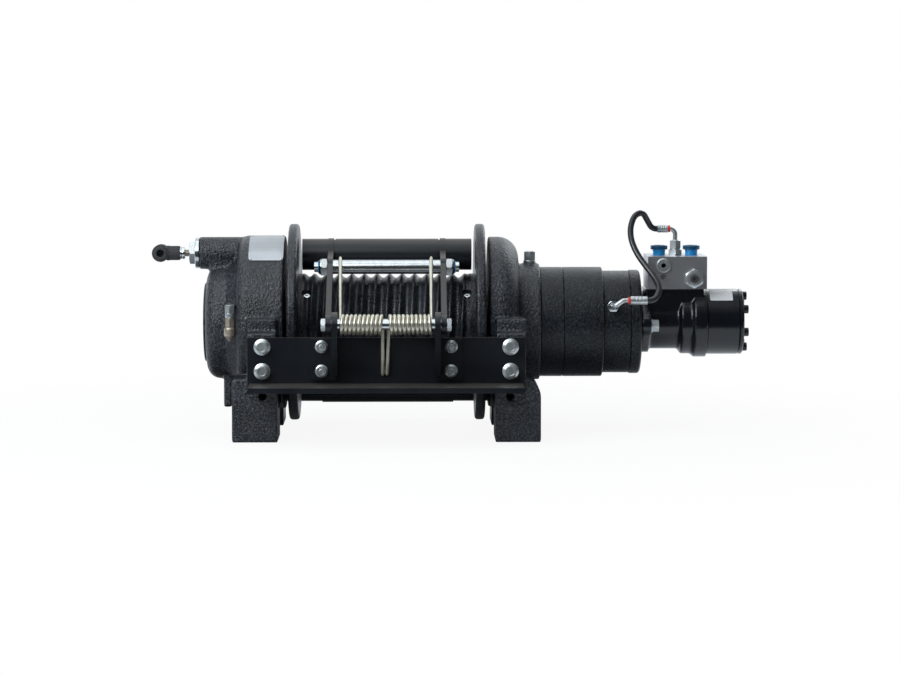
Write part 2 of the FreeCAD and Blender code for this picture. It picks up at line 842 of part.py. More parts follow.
def make_valve_block():
    """Machined block with two ports on top and the bleed hole in front."""
    body = new_body("valve_block")
    sketch = new_sketch(body, "XY_Plane", S.block_bottom)
    right = block_left + S.block_length
    half = S.block_depth / 2
    add_outline(sketch, [(block_left, -half), (right, -half), (right, half), (block_left, half)])
    pad(body, sketch, S.block_height)
    sketch = new_sketch(body, "XY_Plane", block_top)
    for side in (-1, 1):
        add_circle(sketch, block_middle + S.port_offset * side, 0, S.port_radius)
    pocket(body, sketch, S.port_depth)
    sketch = new_sketch(body, "XZ_Plane", half)
    add_circle(sketch, block_left + S.bleed_x, S.block_bottom + S.bleed_rise, S.bleed_radius)
    pocket(body, sketch, S.bleed_depth)


def make_port_cap(label, side):
    """Plastic cap pushed into a port: plug inside, collar and rim above."""
    body = new_body(label, block_middle + S.port_offset * side, 0, block_top)
    rim_start = S.cap_stem_length
    turn_upright(body, [
        (0, -S.cap_plug_depth), (S.port_radius - S.seat_gap, -S.cap_plug_depth),
        (S.port_radius - S.seat_gap, 0), (S.cap_stem_radius, 0), (S.cap_stem_radius, rim_start),
        (S.cap_rim_radius, rim_start), (S.cap_rim_radius, rim_start + S.cap_rim_thick),
        (0, rim_start + S.cap_rim_thick)])


def make_block_fittings():
    """Plug and cartridge valve on the front face of the block."""
    face = -S.block_depth / 2
    plug = new_body("block_plug", block_left + S.plug_x, face, S.block_bottom + S.plug_rise)
    sketch = new_sketch(plug, "XZ_Plane")
    add_circle(sketch, 0, 0, S.plug_radius)
    pad(plug, sketch, S.plug_thick)
    x = block_left + S.cartridge_x
    z = S.block_bottom + S.cartridge_rise
    cartridge = new_body("block_cartridge", x, face, z)
    sketch = new_sketch(cartridge, "XZ_Plane")
    add_outline(sketch, hex_points(0, 0, S.cartridge_hex))
    pad(cartridge, sketch, S.cartridge_thick)
    adjuster = new_body("block_adjuster", x, face - S.cartridge_thick, z)
    sketch = new_sketch(adjuster, "XZ_Plane")
    add_circle(sketch, 0, 0, S.adjuster_radius)
    pad(adjuster, sketch, S.adjuster_length)


# Tubes and the brake hose

def rounded_path(points, radii=None):
    """Straight runs joined by tangent arcs; without radii each arc is as large as its runs allow."""
    edges = []
    used = []
    start = points[0]
    for index in range(1, len(points) - 1):
        corner = points[index]
        before = points[index - 1] - corner
        after = points[index + 1] - corner
        half_turn = (math.pi - before.getAngle(after)) / 2
        if radii:
            radius = radii[index - 1]
        else:
            radius = BEND_SHARE * min(before.Length, after.Length) / math.tan(half_turn)
        setback = radius * math.tan(half_turn)
        inward = (before.normalize() + after.normalize()).normalize()
        arc_start = corner + before * setback
        arc_end = corner + after * setback
        arc_middle = corner + inward * (radius / math.cos(half_turn) - radius)
        edges.append(Part.LineSegment(start, arc_start).toShape())
        edges.append(Part.Arc(arc_start, arc_middle, arc_end).toShape())
        start = arc_end
        used.append(radius)
    edges.append(Part.LineSegment(start, points[-1]).toShape())
    return Part.Wire(edges), used


def sweep_round(wire, radius):
    """Solid round bar along a wire."""
    first = wire.Edges[0]
    start = first.valueAt(first.FirstParameter)
    along = first.tangentAt(first.FirstParameter)
    section = Part.Wire(Part.makeCircle(radius, start, along))
    return wire.makePipeShell([section], True, False)


def keep_shape(label, shape):
    """Sub-part whose shape is set directly."""
    thing = doc.addObject("Part::Feature", f"Shape_{label}")
    thing.Shape = shape
    return finish(thing, label)


def make_brake_line():
    """Fittings and hose that lead from the block's top to the brake's front."""
    base_top = block_top + S.fitting_base_height
    nut_top = base_top + S.fitting_nut_height
    adapter = make_upright_hex("hose_adapter", block_middle, S.fitting_base_hex, block_top,
                               S.fitting_base_height)
    sketch = new_sketch(adapter, "XY_Plane", S.fitting_base_height)
    add_outline(sketch, hex_points(0, 0, S.fitting_nut_hex))
    pad(adapter, sketch, S.fitting_nut_height)
    ferrule_right = ferrule_end + S.ferrule_length
    path, _ = rounded_path([
        vector(block_middle, 0, nut_top), vector(block_middle, 0, S.fitting_rise),
        vector(ferrule_right, 0, S.fitting_rise)], [S.fitting_bend.value])
    keep_shape("hose_elbow_top", sweep_round(path, S.tube_radius.value))
    make_turned("hose_ferrule_top", [
        (ferrule_end, 0), (ferrule_end, S.ferrule_radius),
        (ferrule_right, S.ferrule_radius), (ferrule_right, 0)], z=S.fitting_rise)

    face = -S.brake_port_face
    nut = new_body("brake_port_nut", brake_port_x, face, S.brake_port_rise)
    sketch = new_sketch(nut, "XZ_Plane")
    add_outline(sketch, hex_points(0, 0, S.brake_port_hex))
    pad(nut, sketch, S.brake_port_nut_length)
    nut_face = face - S.brake_port_nut_length
    reach = nut_face - S.low_tube_reach
    low_start = brake_port_x + S.low_ferrule_offset
    path, _ = rounded_path([
        vector(brake_port_x, nut_face, S.brake_port_rise),
        vector(brake_port_x, reach, S.brake_port_rise),
        vector(brake_port_x + S.low_tube_reach, reach, S.low_ferrule_rise),
        vector(low_start, reach, S.low_ferrule_rise)],
        [S.low_tube_bend.value, S.low_tube_bend.value])
    keep_shape("hose_elbow_bottom", sweep_round(path, S.tube_radius.value))
    low_end = low_start + S.low_ferrule_length
    make_turned("hose_ferrule_bottom", [
        (low_start, 0), (low_start, S.low_ferrule_radius),
        (low_end, S.low_ferrule_radius), (low_end, 0)], y=reach, z=S.low_ferrule_rise)

    route = [vector(ferrule_end, 0, S.fitting_rise)]
    route += [vector(block_middle + x, y, z) for x, y, z in HOSE_ROUTE]
    route.append(vector(low_end, reach, S.low_ferrule_rise))
    path, radii = rounded_path(route)
    print("hose radii", [round(radius, 1) for radius in radii])
    hose = sweep_round(path, S.hose_radius.value)
    print("hose volume against section times length",
          round(hose.Volume / (math.pi * S.hose_radius.value ** 2 * path.Length), 3))
    keep_shape("brake_hose", hose)


# Points between the two ferrules that the free hose bends at, along X from the block's middle
HOSE_ROUTE = [
    (-32.5, 0.0, 130.0), (-39.0, -4.0, 141.0), (-46.5, -11.0, 154.0), (-57.0, -19.0, 150.0),
    (-62.4, -26.0, 135.5), (-63.1, -33.0, 122.5), (-61.1, -40.0, 110.5), (-55.0, -48.0, 95.5),
    (-45.5, -57.0, 81.5), (-35.2, -67.0, 68.0), (-29.0, -77.0, 56.0), (-29.0, -85.0, 46.0),
    (-36.0, -92.0, 36.0)]


# Front angle, rear tie rod and tensioner

def make_front_angle():
    """Angle bar bolted across both housings' pads, its foot pointing forward."""
    body = new_body("front_angle")
    bottom = S.angle_top - S.angle_height
    back = -S.foot_front
    sketch = new_sketch(body, "YZ_Plane")
    add_outline(sketch, [(plate_front, bottom), (back, bottom), (back, S.angle_top),
                         (plate_front, S.angle_top)])
    length = (foot_inner + S.pad_width) * 2
    pad(body, sketch, length, both_ways=True)
    sketch = new_sketch(body, "YZ_Plane")
    front = back - S.angle_foot
    add_outline(sketch, [(front, bottom), (plate_front, bottom),
                         (plate_front, bottom + S.angle_thick), (front, bottom + S.angle_thick)])
    pad(body, sketch, length - S.angle_foot_trim * 2, both_ways=True)


def make_tie_rod():
    """Rod that ties the rear feet together, turned down at both ends."""
    half = foot_inner
    middle = S.tie_middle_length / 2
    make_turned("rear_tie_rod", [
        (-half, 0), (-half, S.tie_end_radius), (-middle, S.tie_end_radius), (-middle, S.tie_radius),
        (middle, S.tie_radius), (middle, S.tie_end_radius), (half, S.tie_end_radius), (half, 0)],
        y=S.tie_y, z=S.tie_z)


def make_lug(label, side):
    """Bracket on the angle: a web with the pivot's eye and a base flange for two bolts."""
    body = new_body(label)
    inner = lug_inner * side
    eye = S.lug_eye_radius
    back = S.pivot_y + eye
    sketch = new_sketch(body, "YZ_Plane", inner)
    add_circle(sketch, S.pivot_y, S.pivot_z, eye)
    pad(body, sketch, S.lug_thick, away=side < 0)
    sketch = new_sketch(body, "YZ_Plane", inner)
    nose = S.pivot_y - eye
    add_outline(sketch, [
        (plate_front, S.lug_bottom), (plate_front, S.angle_top), (back, S.pivot_z),
        (nose, S.pivot_z), (nose, S.pivot_z - eye * 2), (plate_front - eye, S.lug_bottom)])
    pad(body, sketch, S.lug_thick, away=side < 0)
    sketch = new_sketch(body, "YZ_Plane", inner)
    top = S.angle_top - S.lug_base_drop
    base_front = plate_front - S.lug_base_thick
    add_outline(sketch, [(plate_front, top - S.lug_base_height), (plate_front, top),
                         (base_front, top), (base_front, top - S.lug_base_height)])
    pad(body, sketch, S.lug_base_length, away=side < 0)
    sketch = new_sketch(body, "YZ_Plane", inner)
    add_circle(sketch, S.pivot_y, S.pivot_z, S.pivot_radius + S.seat_gap)
    pocket(body, sketch, S.lug_thick, away=side > 0)


def make_pivot_shaft():
    """Shaft that the arms and the springs turn on, with a head beyond each arm."""
    shaft = S.pivot_radius
    head = S.pivot_head_radius
    head_start = arm_outer + S.arm_gap
    end = head_start + S.pivot_head_length
    make_turned("pivot_shaft", [
        (-end, 0), (-end, head), (-head_start, head), (-head_start, shaft),
        (head_start, shaft), (head_start, head), (end, head), (end, 0)],
        y=S.pivot_y, z=S.pivot_z)


def strip_points(start, end, half_width):
    """Corners of a strip between two points."""
    along = (end[0] - start[0], end[1] - start[1])
    length = root(along[0] * along[0] + along[1] * along[1])
    side = (-along[1] / length * half_width, along[0] / length * half_width)
    return [(start[0] + side[0], start[1] + side[1]), (end[0] + side[0], end[1] + side[1]),
            (end[0] - side[0], end[1] - side[1]), (start[0] - side[0], start[1] - side[1])]


def make_arm(label, side):
    """Flat arm from the pivot's eye past the cross rod to the neck of the press tube."""
    body = new_body(label)
    inner = arm_inner * side
    pivot = (S.pivot_y, S.pivot_z)
    rod = (S.rod_y, S.rod_z)
    tube = (S.tube_y, S.tube_z)
    rounds = ((pivot, S.arm_eye_radius), (rod, S.arm_eye_radius), (tube, S.arm_end_radius))
    for centre, radius in rounds:
        sketch = new_sketch(body, "YZ_Plane", inner)
        add_circle(sketch, *centre, radius)
        pad(body, sketch, S.arm_thick, away=side < 0)
        if centre is not pivot:
            sketch = new_sketch(body, "YZ_Plane", inner)
            add_outline(sketch, strip_points(before, centre, S.arm_waist))
            pad(body, sketch, S.arm_thick, away=side < 0)
        before = centre
    bores = ((pivot, S.pivot_radius + S.run_gap), (rod, S.rod_bolt_radius + S.seat_gap),
             (tube, S.press_neck_radius + S.seat_gap))
    for centre, radius in bores:
        sketch = new_sketch(body, "YZ_Plane", inner)
        add_circle(sketch, *centre, radius)
        pocket(body, sketch, S.arm_thick, away=side > 0)


def make_tensioner():
    """Press tube and cross rod that the arms carry, with the rod's nuts."""
    tube = new_body("press_tube", 0, S.tube_y, S.tube_z)
    half = (S.barrel_length - S.press_inset) / 2
    collar_start = arm_inner - S.press_collar_length
    revolve(tube, [
        (-half, 0), (-half, S.press_radius), (half, S.press_radius), (half, 0)])
    for side in (-1, 1):
        for start, end, radius in ((arm_inner, arm_outer, S.press_neck_radius),
                                   (collar_start, arm_inner, S.press_collar_radius)):
            revolve(tube, [
                (side * start, radius), (side * start, S.press_radius * 2),
                (side * end, S.press_radius * 2), (side * end, radius)], "PartDesign::Groove")
    bolt = S.rod_bolt_radius
    end = arm_outer + S.rod_nut_thick + S.rod_collar_length + S.rod_bolt_end
    make_turned("cross_rod", [
        (-end, 0), (-end, bolt), (-arm_inner, bolt), (-arm_inner, S.rod_radius),
        (arm_inner, S.rod_radius), (arm_inner, bolt), (end, bolt), (end, 0)],
        y=S.rod_y, z=S.rod_z)
    for label, side in (("rod_nut_left", -1), ("rod_nut_right", 1)):
        body = new_body(label, arm_outer * side, S.rod_y, S.rod_z)
        sketch = new_sketch(body, "YZ_Plane")
        add_outline(sketch, hex_points(0, 0, S.rod_nut_hex))
        pad(body, sketch, S.rod_nut_thick, away=side < 0)
        whole = S.rod_nut_thick + S.rod_collar_length
        for radius, work, backwards in ((S.rod_collar_radius, pad, side < 0),
                                        (bolt + S.seat_gap, pocket, side > 0)):
            sketch = new_sketch(body, "YZ_Plane")
            add_circle(sketch, 0, 0, radius)
            work(body, sketch, whole, away=backwards)


def tangent_angle(across, up, radius):
    """Angle on a circle where the tangent to a point beside it leaves, counted from the rear."""
    return math.atan2(up, across) + math.acos(radius / math.hypot(across, up))


def sweep_wire(helix, radius, sides=8):
    """Spring wire along a helix, with flats in place of its round section."""
    first = helix.Edges[0]
    start = first.valueAt(first.FirstParameter)
    along = first.tangentAt(first.FirstParameter)
    side = along.cross(vector(1)).normalize()
    up = side.cross(along)
    corner = radius / math.cos(math.pi / sides)
    turns = [2 * math.pi * (step + 0.5) / sides for step in range(sides + 1)]
    section = Part.makePolygon([
        start + (side * math.cos(turn) + up * math.sin(turn)) * corner for turn in turns])
    return helix.makePipeShell([section], True, True)


def leg_bar(cap, end):
    """Straight leg that carries on from the coil's end face to a point."""
    return cap.extrude(end - cap.CenterOfMass)


def make_spring(label, side, start, end, leg_foot, leg_splay):
    """Torsion spring: a leg down to the plate, a coil round the shaft, a leg up over the rod."""
    wire = S.wire_radius.value
    coil = S.coil_radius.value
    inner = start.value
    outer = end.value
    pivot = vector(0, S.pivot_y, S.pivot_z)
    plate_rest = vector(leg_foot, plate_front - S.wire_radius - S.spring_gap, S.leg_bottom)
    first = tangent_angle(plate_rest.y - pivot.y, plate_rest.z - pivot.z, coil)
    reach = vector(0, S.rod_y, S.rod_z) - pivot
    over_rod = S.rod_radius.value + wire + S.spring_gap.value
    crossing = math.asin((coil + over_rod) / reach.Length)
    climb = math.atan2(reach.z, reach.y) + crossing
    turns = math.floor((outer - inner) / S.coil_pitch.value)
    last = climb - math.pi / 2 + 2 * math.pi * turns
    leg_length = reach.Length * math.cos(crossing) + S.leg_over.value

    length = outer - inner
    pitch = length * 2 * math.pi / (last - first)
    helix = Part.Wire(Part.makeHelix(pitch, length, coil).Edges)
    shape = sweep_wire(helix, wire)
    shape.rotate(vector(), vector(0, 0, 1), math.degrees(first))
    shape.rotate(vector(), vector(1, 1, 1), 120)
    shape.translate(pivot + vector(inner))

    caps = [face for face in shape.Faces if face.Surface.TypeId == "Part::GeomPlane"]
    low, high = sorted(caps, key=lambda face: face.CenterOfMass.x)
    tip = high.CenterOfMass + vector(0, math.cos(climb), math.sin(climb)) * leg_length
    tip += vector(leg_splay)
    shape = shape.fuse([leg_bar(low, plate_rest), leg_bar(high, tip)])
    if side < 0:
        shape = shape.mirror(vector(), vector(1, 0, 0))
    keep_shape(label, shape)


for step in (make_drum_barrel, make_gear_housing, make_motor_side_housing, make_clutch, make_relief,
             make_top_breather, make_motor_body, make_valve_block, make_block_fittings,
             make_brake_line, make_front_angle, make_tie_rod, make_pivot_shaft, make_tensioner,
             make_motor_adapter):
    step()
for side_name, side in (("left", -1), ("right", 1)):
    make_drum_flange(f"drum_flange_{side_name}", side)
    make_port_cap(f"port_cap_{side_name}", side)
    make_lug(f"tensioner_lug_{side_name}", side)
    make_arm(f"tensioner_arm_{side_name}", side)
make_spring("spring_left", -1, S.coil_inner_left, lug_inner - S.coil_gap_left, S.leg_foot_left,
            S.leg_splay_left)
make_spring("spring_right", 1, S.coil_inner_right, lug_inner - S.coil_gap_right, S.leg_foot_right,
            S.leg_splay_right)
make_disc("gear_end_cover", -nose_end - S.cover_thick, -nose_end, S.cover_radius, S.seam)
make_disc("brake_ring", neck_end, ring_end, S.brake_radius, S.seam)
make_disc("brake_housing", ring_end, brake_end, S.brake_radius, S.seam)
make_brake_cylinder()
make_disc("motor_gear_set", rib_end, gear_set_end, S.gear_set_radius, S.seam)
make_disc("motor_end_cover", gear_set_end, gear_set_end + S.end_cover_length, S.gear_set_radius,
          S.end_cover_edge)
doc.recompute()

for thing in doc.Objects:
    if "Invalid" in thing.State or "Error" in thing.State:
        raise RuntimeError(f"{thing.Name} ({thing.Label}) failed")
os.makedirs("parts", exist_ok=True)
for node in NODES:
    shape = node.Shape
    if shape.isNull() or not shape.isValid():
        raise RuntimeError(f"{node.Label} has no valid shape")
    print(node.Label, len(shape.Solids), round(shape.Volume / 1000, 1))
    shape.exportStep(f"parts/{node.Label}.step")
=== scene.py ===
"""Dressed scene of a hydraulic drum winch: finishes, fasteners, rope grooves, springs and hose.

Every piece but the hose, a curve, is a surface worked out with numpy from two running values. It is
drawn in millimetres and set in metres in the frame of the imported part: +X along the drum to the
motor, +Y to the rear, +Z up, feet on Z = 0.
"""
import json
import math

import bpy
import numpy as np
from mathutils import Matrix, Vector

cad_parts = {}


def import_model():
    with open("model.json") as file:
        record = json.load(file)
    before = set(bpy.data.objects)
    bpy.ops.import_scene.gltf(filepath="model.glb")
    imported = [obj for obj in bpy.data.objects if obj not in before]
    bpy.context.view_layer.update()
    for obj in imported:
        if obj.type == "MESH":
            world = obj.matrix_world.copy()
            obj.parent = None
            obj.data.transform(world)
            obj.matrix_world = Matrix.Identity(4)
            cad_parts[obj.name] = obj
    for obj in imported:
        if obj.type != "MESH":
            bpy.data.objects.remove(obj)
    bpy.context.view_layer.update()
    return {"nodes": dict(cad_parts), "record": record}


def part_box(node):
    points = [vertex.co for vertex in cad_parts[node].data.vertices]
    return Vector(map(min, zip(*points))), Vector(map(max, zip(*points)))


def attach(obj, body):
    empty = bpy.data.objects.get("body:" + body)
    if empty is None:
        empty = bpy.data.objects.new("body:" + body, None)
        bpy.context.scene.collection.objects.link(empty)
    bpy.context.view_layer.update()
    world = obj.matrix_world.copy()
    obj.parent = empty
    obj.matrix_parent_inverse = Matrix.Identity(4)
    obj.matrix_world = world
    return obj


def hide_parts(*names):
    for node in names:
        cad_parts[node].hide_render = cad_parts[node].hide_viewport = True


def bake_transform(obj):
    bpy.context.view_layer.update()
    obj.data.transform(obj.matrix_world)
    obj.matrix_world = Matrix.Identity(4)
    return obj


bl_info = {
    "name": "Hydraulic Drum Winch",
    "version": (1, 0, 0),
    "blender": (4, 5, 0),
    "location": "View3D > Sidebar > Winch",
    "description": "Dresses a packed drum winch with finishes, fasteners, springs and hose",
    "category": "Object",
}

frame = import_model()

MM = 0.001
barrel_low, barrel_high = [np.array(corner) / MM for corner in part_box("drum_barrel")]
AXIS = np.array([0.0, 0.0, (barrel_low[2] + barrel_high[2]) / 2])
BARREL_RADIUS = (barrel_high[2] - barrel_low[2]) / 2


def extent(node):
    """Lowest and highest corner of a node, in millimetres from the drum axis."""
    low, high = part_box(node)
    return np.array(low) / MM - AXIS, np.array(high) / MM - AXIS


def middle(node):
    """Middle of a node's box, in millimetres from the drum axis."""
    return sum(extent(node)) / 2


BARREL_HALF, FLANGE_FACE = [corner[0] for corner in extent("drum_flange_right")]


def world(x, y, z):
    """A place in millimetres from the drum axis, as metres in the frame."""
    return (np.array([x, y, z]) + AXIS) * MM


# Sizes and colours that a user would change

def length(name, description, default):
    return bpy.props.FloatProperty(name=name, description=description, default=default * MM,
                                   min=0.0, precision=5, subtype="DISTANCE", unit="LENGTH")


def colour(name, description, default):
    return bpy.props.FloatVectorProperty(name=name, description=description, default=default,
                                         min=0.0, max=1.0, size=3, subtype="COLOR")


def factor(name, description, default):
    return bpy.props.FloatProperty(name=name, description=description, default=default,
                                   min=0.0, subtype="FACTOR")


class WinchSizes(bpy.types.PropertyGroup):
    groove_pitch: length("Groove pitch", "Distance between rope grooves", 17.5)
    groove_depth: length("Groove depth", "Depth of a rope groove", 5.8)
    wire_radius: length("Spring wire", "Radius of the spring wire", 2.6)
    coil_radius: length("Coil", "Radius to the middle of the spring wire", 11.75)
    frame_bolt: length("Frame bolt", "Width across flats of the angle's bolts", 15.6)
    lug_nut: length("Lug nut", "Width across flats of the lugs' nuts", 13.0)
    cap_screw: length("Cap screw", "Head diameter of the motor's cap screws", 12.0)
    hose_diameter: length("Hose", "Outside diameter of the brake hose", 8.5)
    plate_thick: length("Rating plate", "Thickness of the bare rating plate", 0.8)
    coil_turns: bpy.props.IntProperty(name="Coil turns", description="Whole turns of a spring",
                                      default=10, min=1)


class WinchColours(bpy.types.PropertyGroup):
    # The colours for the grain's tops below are painted glints: a paler colour on the tops of the
    # cast grain, standing for sparkle of light.
    casting: colour("Castings", "Paint on the rough castings", (0.003, 0.004, 0.007))
    casting_glints: colour("Casting glints", "Painted glints on the tops of the castings' grain", (0.046, 0.054, 0.068))
    drum_paint: colour("Drum paint", "Paint on the barrel and its flanges", (0.003, 0.004, 0.007))
    drum_glints: colour("Drum glints", "Painted glints on the tops of the drum's grain", (0.034, 0.040, 0.048))
    brake_paint: colour("Brake paint", "Paint on the brake stack", (0.002, 0.003, 0.006))
    brake_glints: colour("Brake glints", "Painted glints on the tops of the brake stack's grain", (0.022, 0.029, 0.034))
    smooth_paint: colour("Smooth paint", "Paint on plate, bar and tube", (0.005, 0.007, 0.011))
    motor_paint: colour("Motor paint", "Gloss paint on the motor", (0.003, 0.0045, 0.008))
    zinc: colour("Zinc", "Bright zinc plate", (0.76, 0.80, 0.82))
    spring: colour("Spring zinc", "Yellowish zinc plate on the springs", (0.82, 0.78, 0.66))
    brass: colour("Brass", "Brass of the small valves", (0.60, 0.52, 0.43))
    block: colour("Block", "Machined aluminium of the valve block", (0.58, 0.55, 0.60))
    plate: colour("Rating plate", "Bare aluminium plate", (0.52, 0.54, 0.57))
    cap: colour("Port cap", "Blue plastic of the port caps", (0.0, 0.27, 0.66))
    cap_rim: colour("Cap rim", "Darker blue of the port caps' rims", (0.003, 0.06, 0.14))
    # Painted top light: a paler colour on the upward faces of plate and bar, standing for light
    # from above.
    painted_top_light: colour("Painted top light", "Dust on the upper side of plate and bar", (0.060, 0.055, 0.050))
    plastic: colour("Black plastic", "Moulded black plastic", (0.016, 0.017, 0.020))
    hose: colour("Hose", "Cover of the brake hose", (0.016, 0.017, 0.020))
    ring: colour("Ring", "Red ring of the hose ends", (0.62, 0.03, 0.02))
    insert: colour("Insert", "Blue nylon ring of the lock nuts", (0.04, 0.30, 0.62))
    label: colour("Label", "Blank sheet on the motor", (0.70, 0.71, 0.72))
    floor: colour("Floor", "Pale studio floor", (0.86, 0.86, 0.86))


class WinchStage(bpy.types.PropertyGroup):
    lens: bpy.props.FloatProperty(name="Lens", description="Focal length of the camera",
                                  default=120.2, min=1.0, subtype="DISTANCE_CAMERA")
    top_light: factor("Top light", "Power of the light above the winch in watts", 13.0)
    side_light: factor("Side light", "Power of the wide light at the left in watts", 18.0)
    front_light: factor("Front light", "Power of the soft light in front at the left in watts", 9.0)
    rear_light: factor("Rear light", "Power of the light behind the winch in watts", 8.0)
    sky: factor("Sky", "Strength of the room's own light", 0.34)


def sizes():
    return bpy.context.scene.winch_sizes


def colours():
    return bpy.context.scene.winch_colours


def stage_values():
    return bpy.context.scene.winch_stage


# Surfaces

def skin(rings, start_cap=True):
    """Skin of quads over a grid of rings, with a cap at its end and mostly at its start.

    Each ring runs anticlockwise about the way the rings advance.
    """
    rows, columns = rings.shape[:2]
    index = np.arange(rows * columns).reshape(rows, columns)
    index = np.concatenate([index, index[:, :1]], axis=1)
    quads = np.stack([index[:-1, :-1], index[:-1, 1:], index[1:, 1:], index[1:, :-1]], axis=-1)
    faces = quads.reshape(-1, 4).tolist()
    if start_cap:
        faces.append(index[0, :columns][::-1].tolist())
    faces.append(index[-1, :columns].tolist())
    return rings.reshape(-1, 3), faces


def joined(*shapes):
    """Several shapes as one list of points and faces."""
    points, faces, offset = [], [], 0
    for some_points, some_faces in shapes:
        points.append(some_points)
        faces += [[corner + offset for corner in face] for face in some_faces]
        offset += len(some_points)
    return np.concatenate(points), faces


EASE_STEPS = 4


def soften(outline, ease):
    """Outline with short curves at its inner corners: each is a quadratic Bezier.

    The corner is its control point, and it starts and ends at the ease from the corner.
    """
    outline = np.asarray(outline, float)
    corner = outline[1:-1]
    ends = []
    for neighbour in (outline[:-2], outline[2:]):
        way = neighbour - corner
        span = np.linalg.norm(way, axis=1, keepdims=True)
        ends.append((corner + way / span * np.minimum(ease, 0.48 * span))[:, None])
    t = np.linspace(0, 1, EASE_STEPS)[None, :, None]
    curve = (1 - t) ** 2 * ends[0] + 2 * t * (1 - t) * corner[:, None] + t ** 2 * ends[1]
    return np.concatenate([outline[:1], curve.reshape(-1, 2), outline[-1:]])


def circle(count):
    return np.arange(count) * 2 * math.pi / count


HEX_TURN = circle(96)


def revolved(x, radius, turn, start_cap=True):
    """Skin about +X: the ring at each x has its radius at each angle of the turn."""
    x, radius, turn = np.broadcast_arrays(x, radius, turn)
    rings = np.stack([x, radius * np.cos(turn), radius * np.sin(turn)], axis=-1)
    return skin(rings, start_cap)


def lathe(outline, count=64):
    """Surface of revolution about +X: ring k lies at x_k with radius r_k from the outline."""
    outline = np.asarray(outline, float)
    return revolved(outline[:, :1], outline[:, 1:], circle(count))


def hexagon(turn, across):
    """Radius of a hexagon at each angle: half its width over the cosine to the nearest flat."""
    return across / 2 / np.cos((turn + math.pi / 6) % (math.pi / 3) - math.pi / 6)


def hex_solid(across, height, base=0.0, both=False, mark=0.0):
    """Hexagon head along +X whose corners are cut by a cone: radius is the lesser of the two.

    A mark is a round recess of that depth in the top.
    """
    depth = 0.062 * across
    top = np.linspace(height - depth, height, 7)
    bottom = np.linspace(0, depth, 7) if both else np.array([0.0])
    x = np.concatenate([bottom, top])[:, None]
    to_end = np.minimum(height - x, x) if both else height - x
    cone = across / 2 * 0.96 + to_end * 1.9
    radius = np.minimum(hexagon(HEX_TURN, across), cone)
    if mark:
        x = np.concatenate([x, [[height], [height - mark], [height - mark]]])
        recess = across * np.array([[0.34], [0.30], [0.02]])
        radius = np.concatenate([radius, recess + 0 * HEX_TURN])
    return revolved(x + base, radius, HEX_TURN)


def socket(across, depth, face, outer):
    """Recess in a round end face at x = face: a flat ring, a chamfer and a hexagon well."""
    well = hexagon(HEX_TURN, across)
    x = np.array([[face], [face], [face - 0.06 * across], [face - depth]])
    radius = np.stack([outer + 0 * well, well * 1.06, well, well])
    return revolved(x, radius, HEX_TURN, start_cap=False)


def facing(direction):
    """Turn that takes +X to a direction and keeps the other axes square to it."""
    x = np.asarray(direction, float)
    x = x / np.linalg.norm(x)
    guide = np.array([0.0, 0.0, 1.0]) if abs(x[2]) < 0.9 else np.array([0.0, -1.0, 0.0])
    y = np.cross(guide, x)
    y /= np.linalg.norm(y)
    return np.stack([x, y, np.cross(x, y)])


def moved(shape, origin, direction=(1, 0, 0), spin=0.0):
    """Shape drawn along +X, spun about its own axis, turned and carried to a place."""
    points, faces = shape
    cosine, sine = math.cos(spin), math.sin(spin)
    spun = np.stack([points[:, 0], points[:, 1] * cosine - points[:, 2] * sine,
                     points[:, 1] * sine + points[:, 2] * cosine], axis=1)
    return spun @ facing(direction) + np.asarray(origin), faces


def tube(path, radius, normals, count):
    """Round tube: circles about the path's points, each with its radius and square to the path."""
    tangent = np.gradient(path, axis=0)
    tangent /= np.linalg.norm(tangent, axis=1, keepdims=True)
    normals = normals - tangent * np.sum(normals * tangent, axis=1, keepdims=True)
    normals /= np.linalg.norm(normals, axis=1, keepdims=True)
    side = np.cross(tangent, normals)
    turn = circle(count)[None, :, None]
    reach = normals[:, None] * np.cos(turn) + side[:, None] * np.sin(turn)
    return skin(path[:, None] + radius[:, None, None] * reach)


def turned(outline, ease, count=64):
    """Surface of revolution along +X in millimetres, with the corners of its outline eased."""
    return lathe(soften(outline, ease), count)


def flanged_bolt(across, height, flange, flange_height, mark):
    """Hexagon head on a wide flange whose upper side slopes up to the flats."""
    disc = turned([(0, flange), (flange_height * 0.4, flange), (flange_height, across * 0.5),
                   (flange_height, 0.4)], 0.3)
    return joined(disc, hex_solid(across, height, flange_height * 0.9, mark=mark))


def piece(name, shape, material, body, sharp=32.0):
    """Mesh object of a shape, with its finish, the body that it rides on and its sharp edges."""
    points, faces = shape
    mesh = bpy.data.meshes.new(name)
    mesh.from_pydata(points.tolist(), [], faces)
    mesh.validate()
    mesh.polygons.foreach_set("use_smooth", np.ones(len(mesh.polygons), bool))
    mesh.set_sharp_from_angle(angle=math.radians(sharp))
    mesh.materials.append(bpy.data.materials[material])
    item = bpy.data.objects.new(name, mesh)
    bpy.context.scene.collection.objects.link(item)
    if body:
        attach(item, body)
    return item


def fit(name, shape, material, slot, *nodes, at=(0, 0, 0), toward=(1, 0, 0), spin=0.0,
        body="frame"):
    """Piece drawn in millimetres along +X, turned and carried to a place, that stands for nodes."""
    points, faces = shape
    item = piece(name, moved((points * MM, faces), world(*at), toward, spin), material, body)
    if nodes:
        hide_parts(*nodes)


# Shader helpers and shared effects

def put(tree, kind, inputs=None, **options):
    """Add a node, set its options, and feed its inputs with values or other sockets."""
    node = tree.nodes.new(kind)
    for option, value in options.items():
        setattr(node, option, value)
    for name, value in (inputs or {}).items():
        if isinstance(value, bpy.types.NodeSocket):
            tree.links.new(value, node.inputs[name])
        else:
            node.inputs[name].default_value = value
    return node


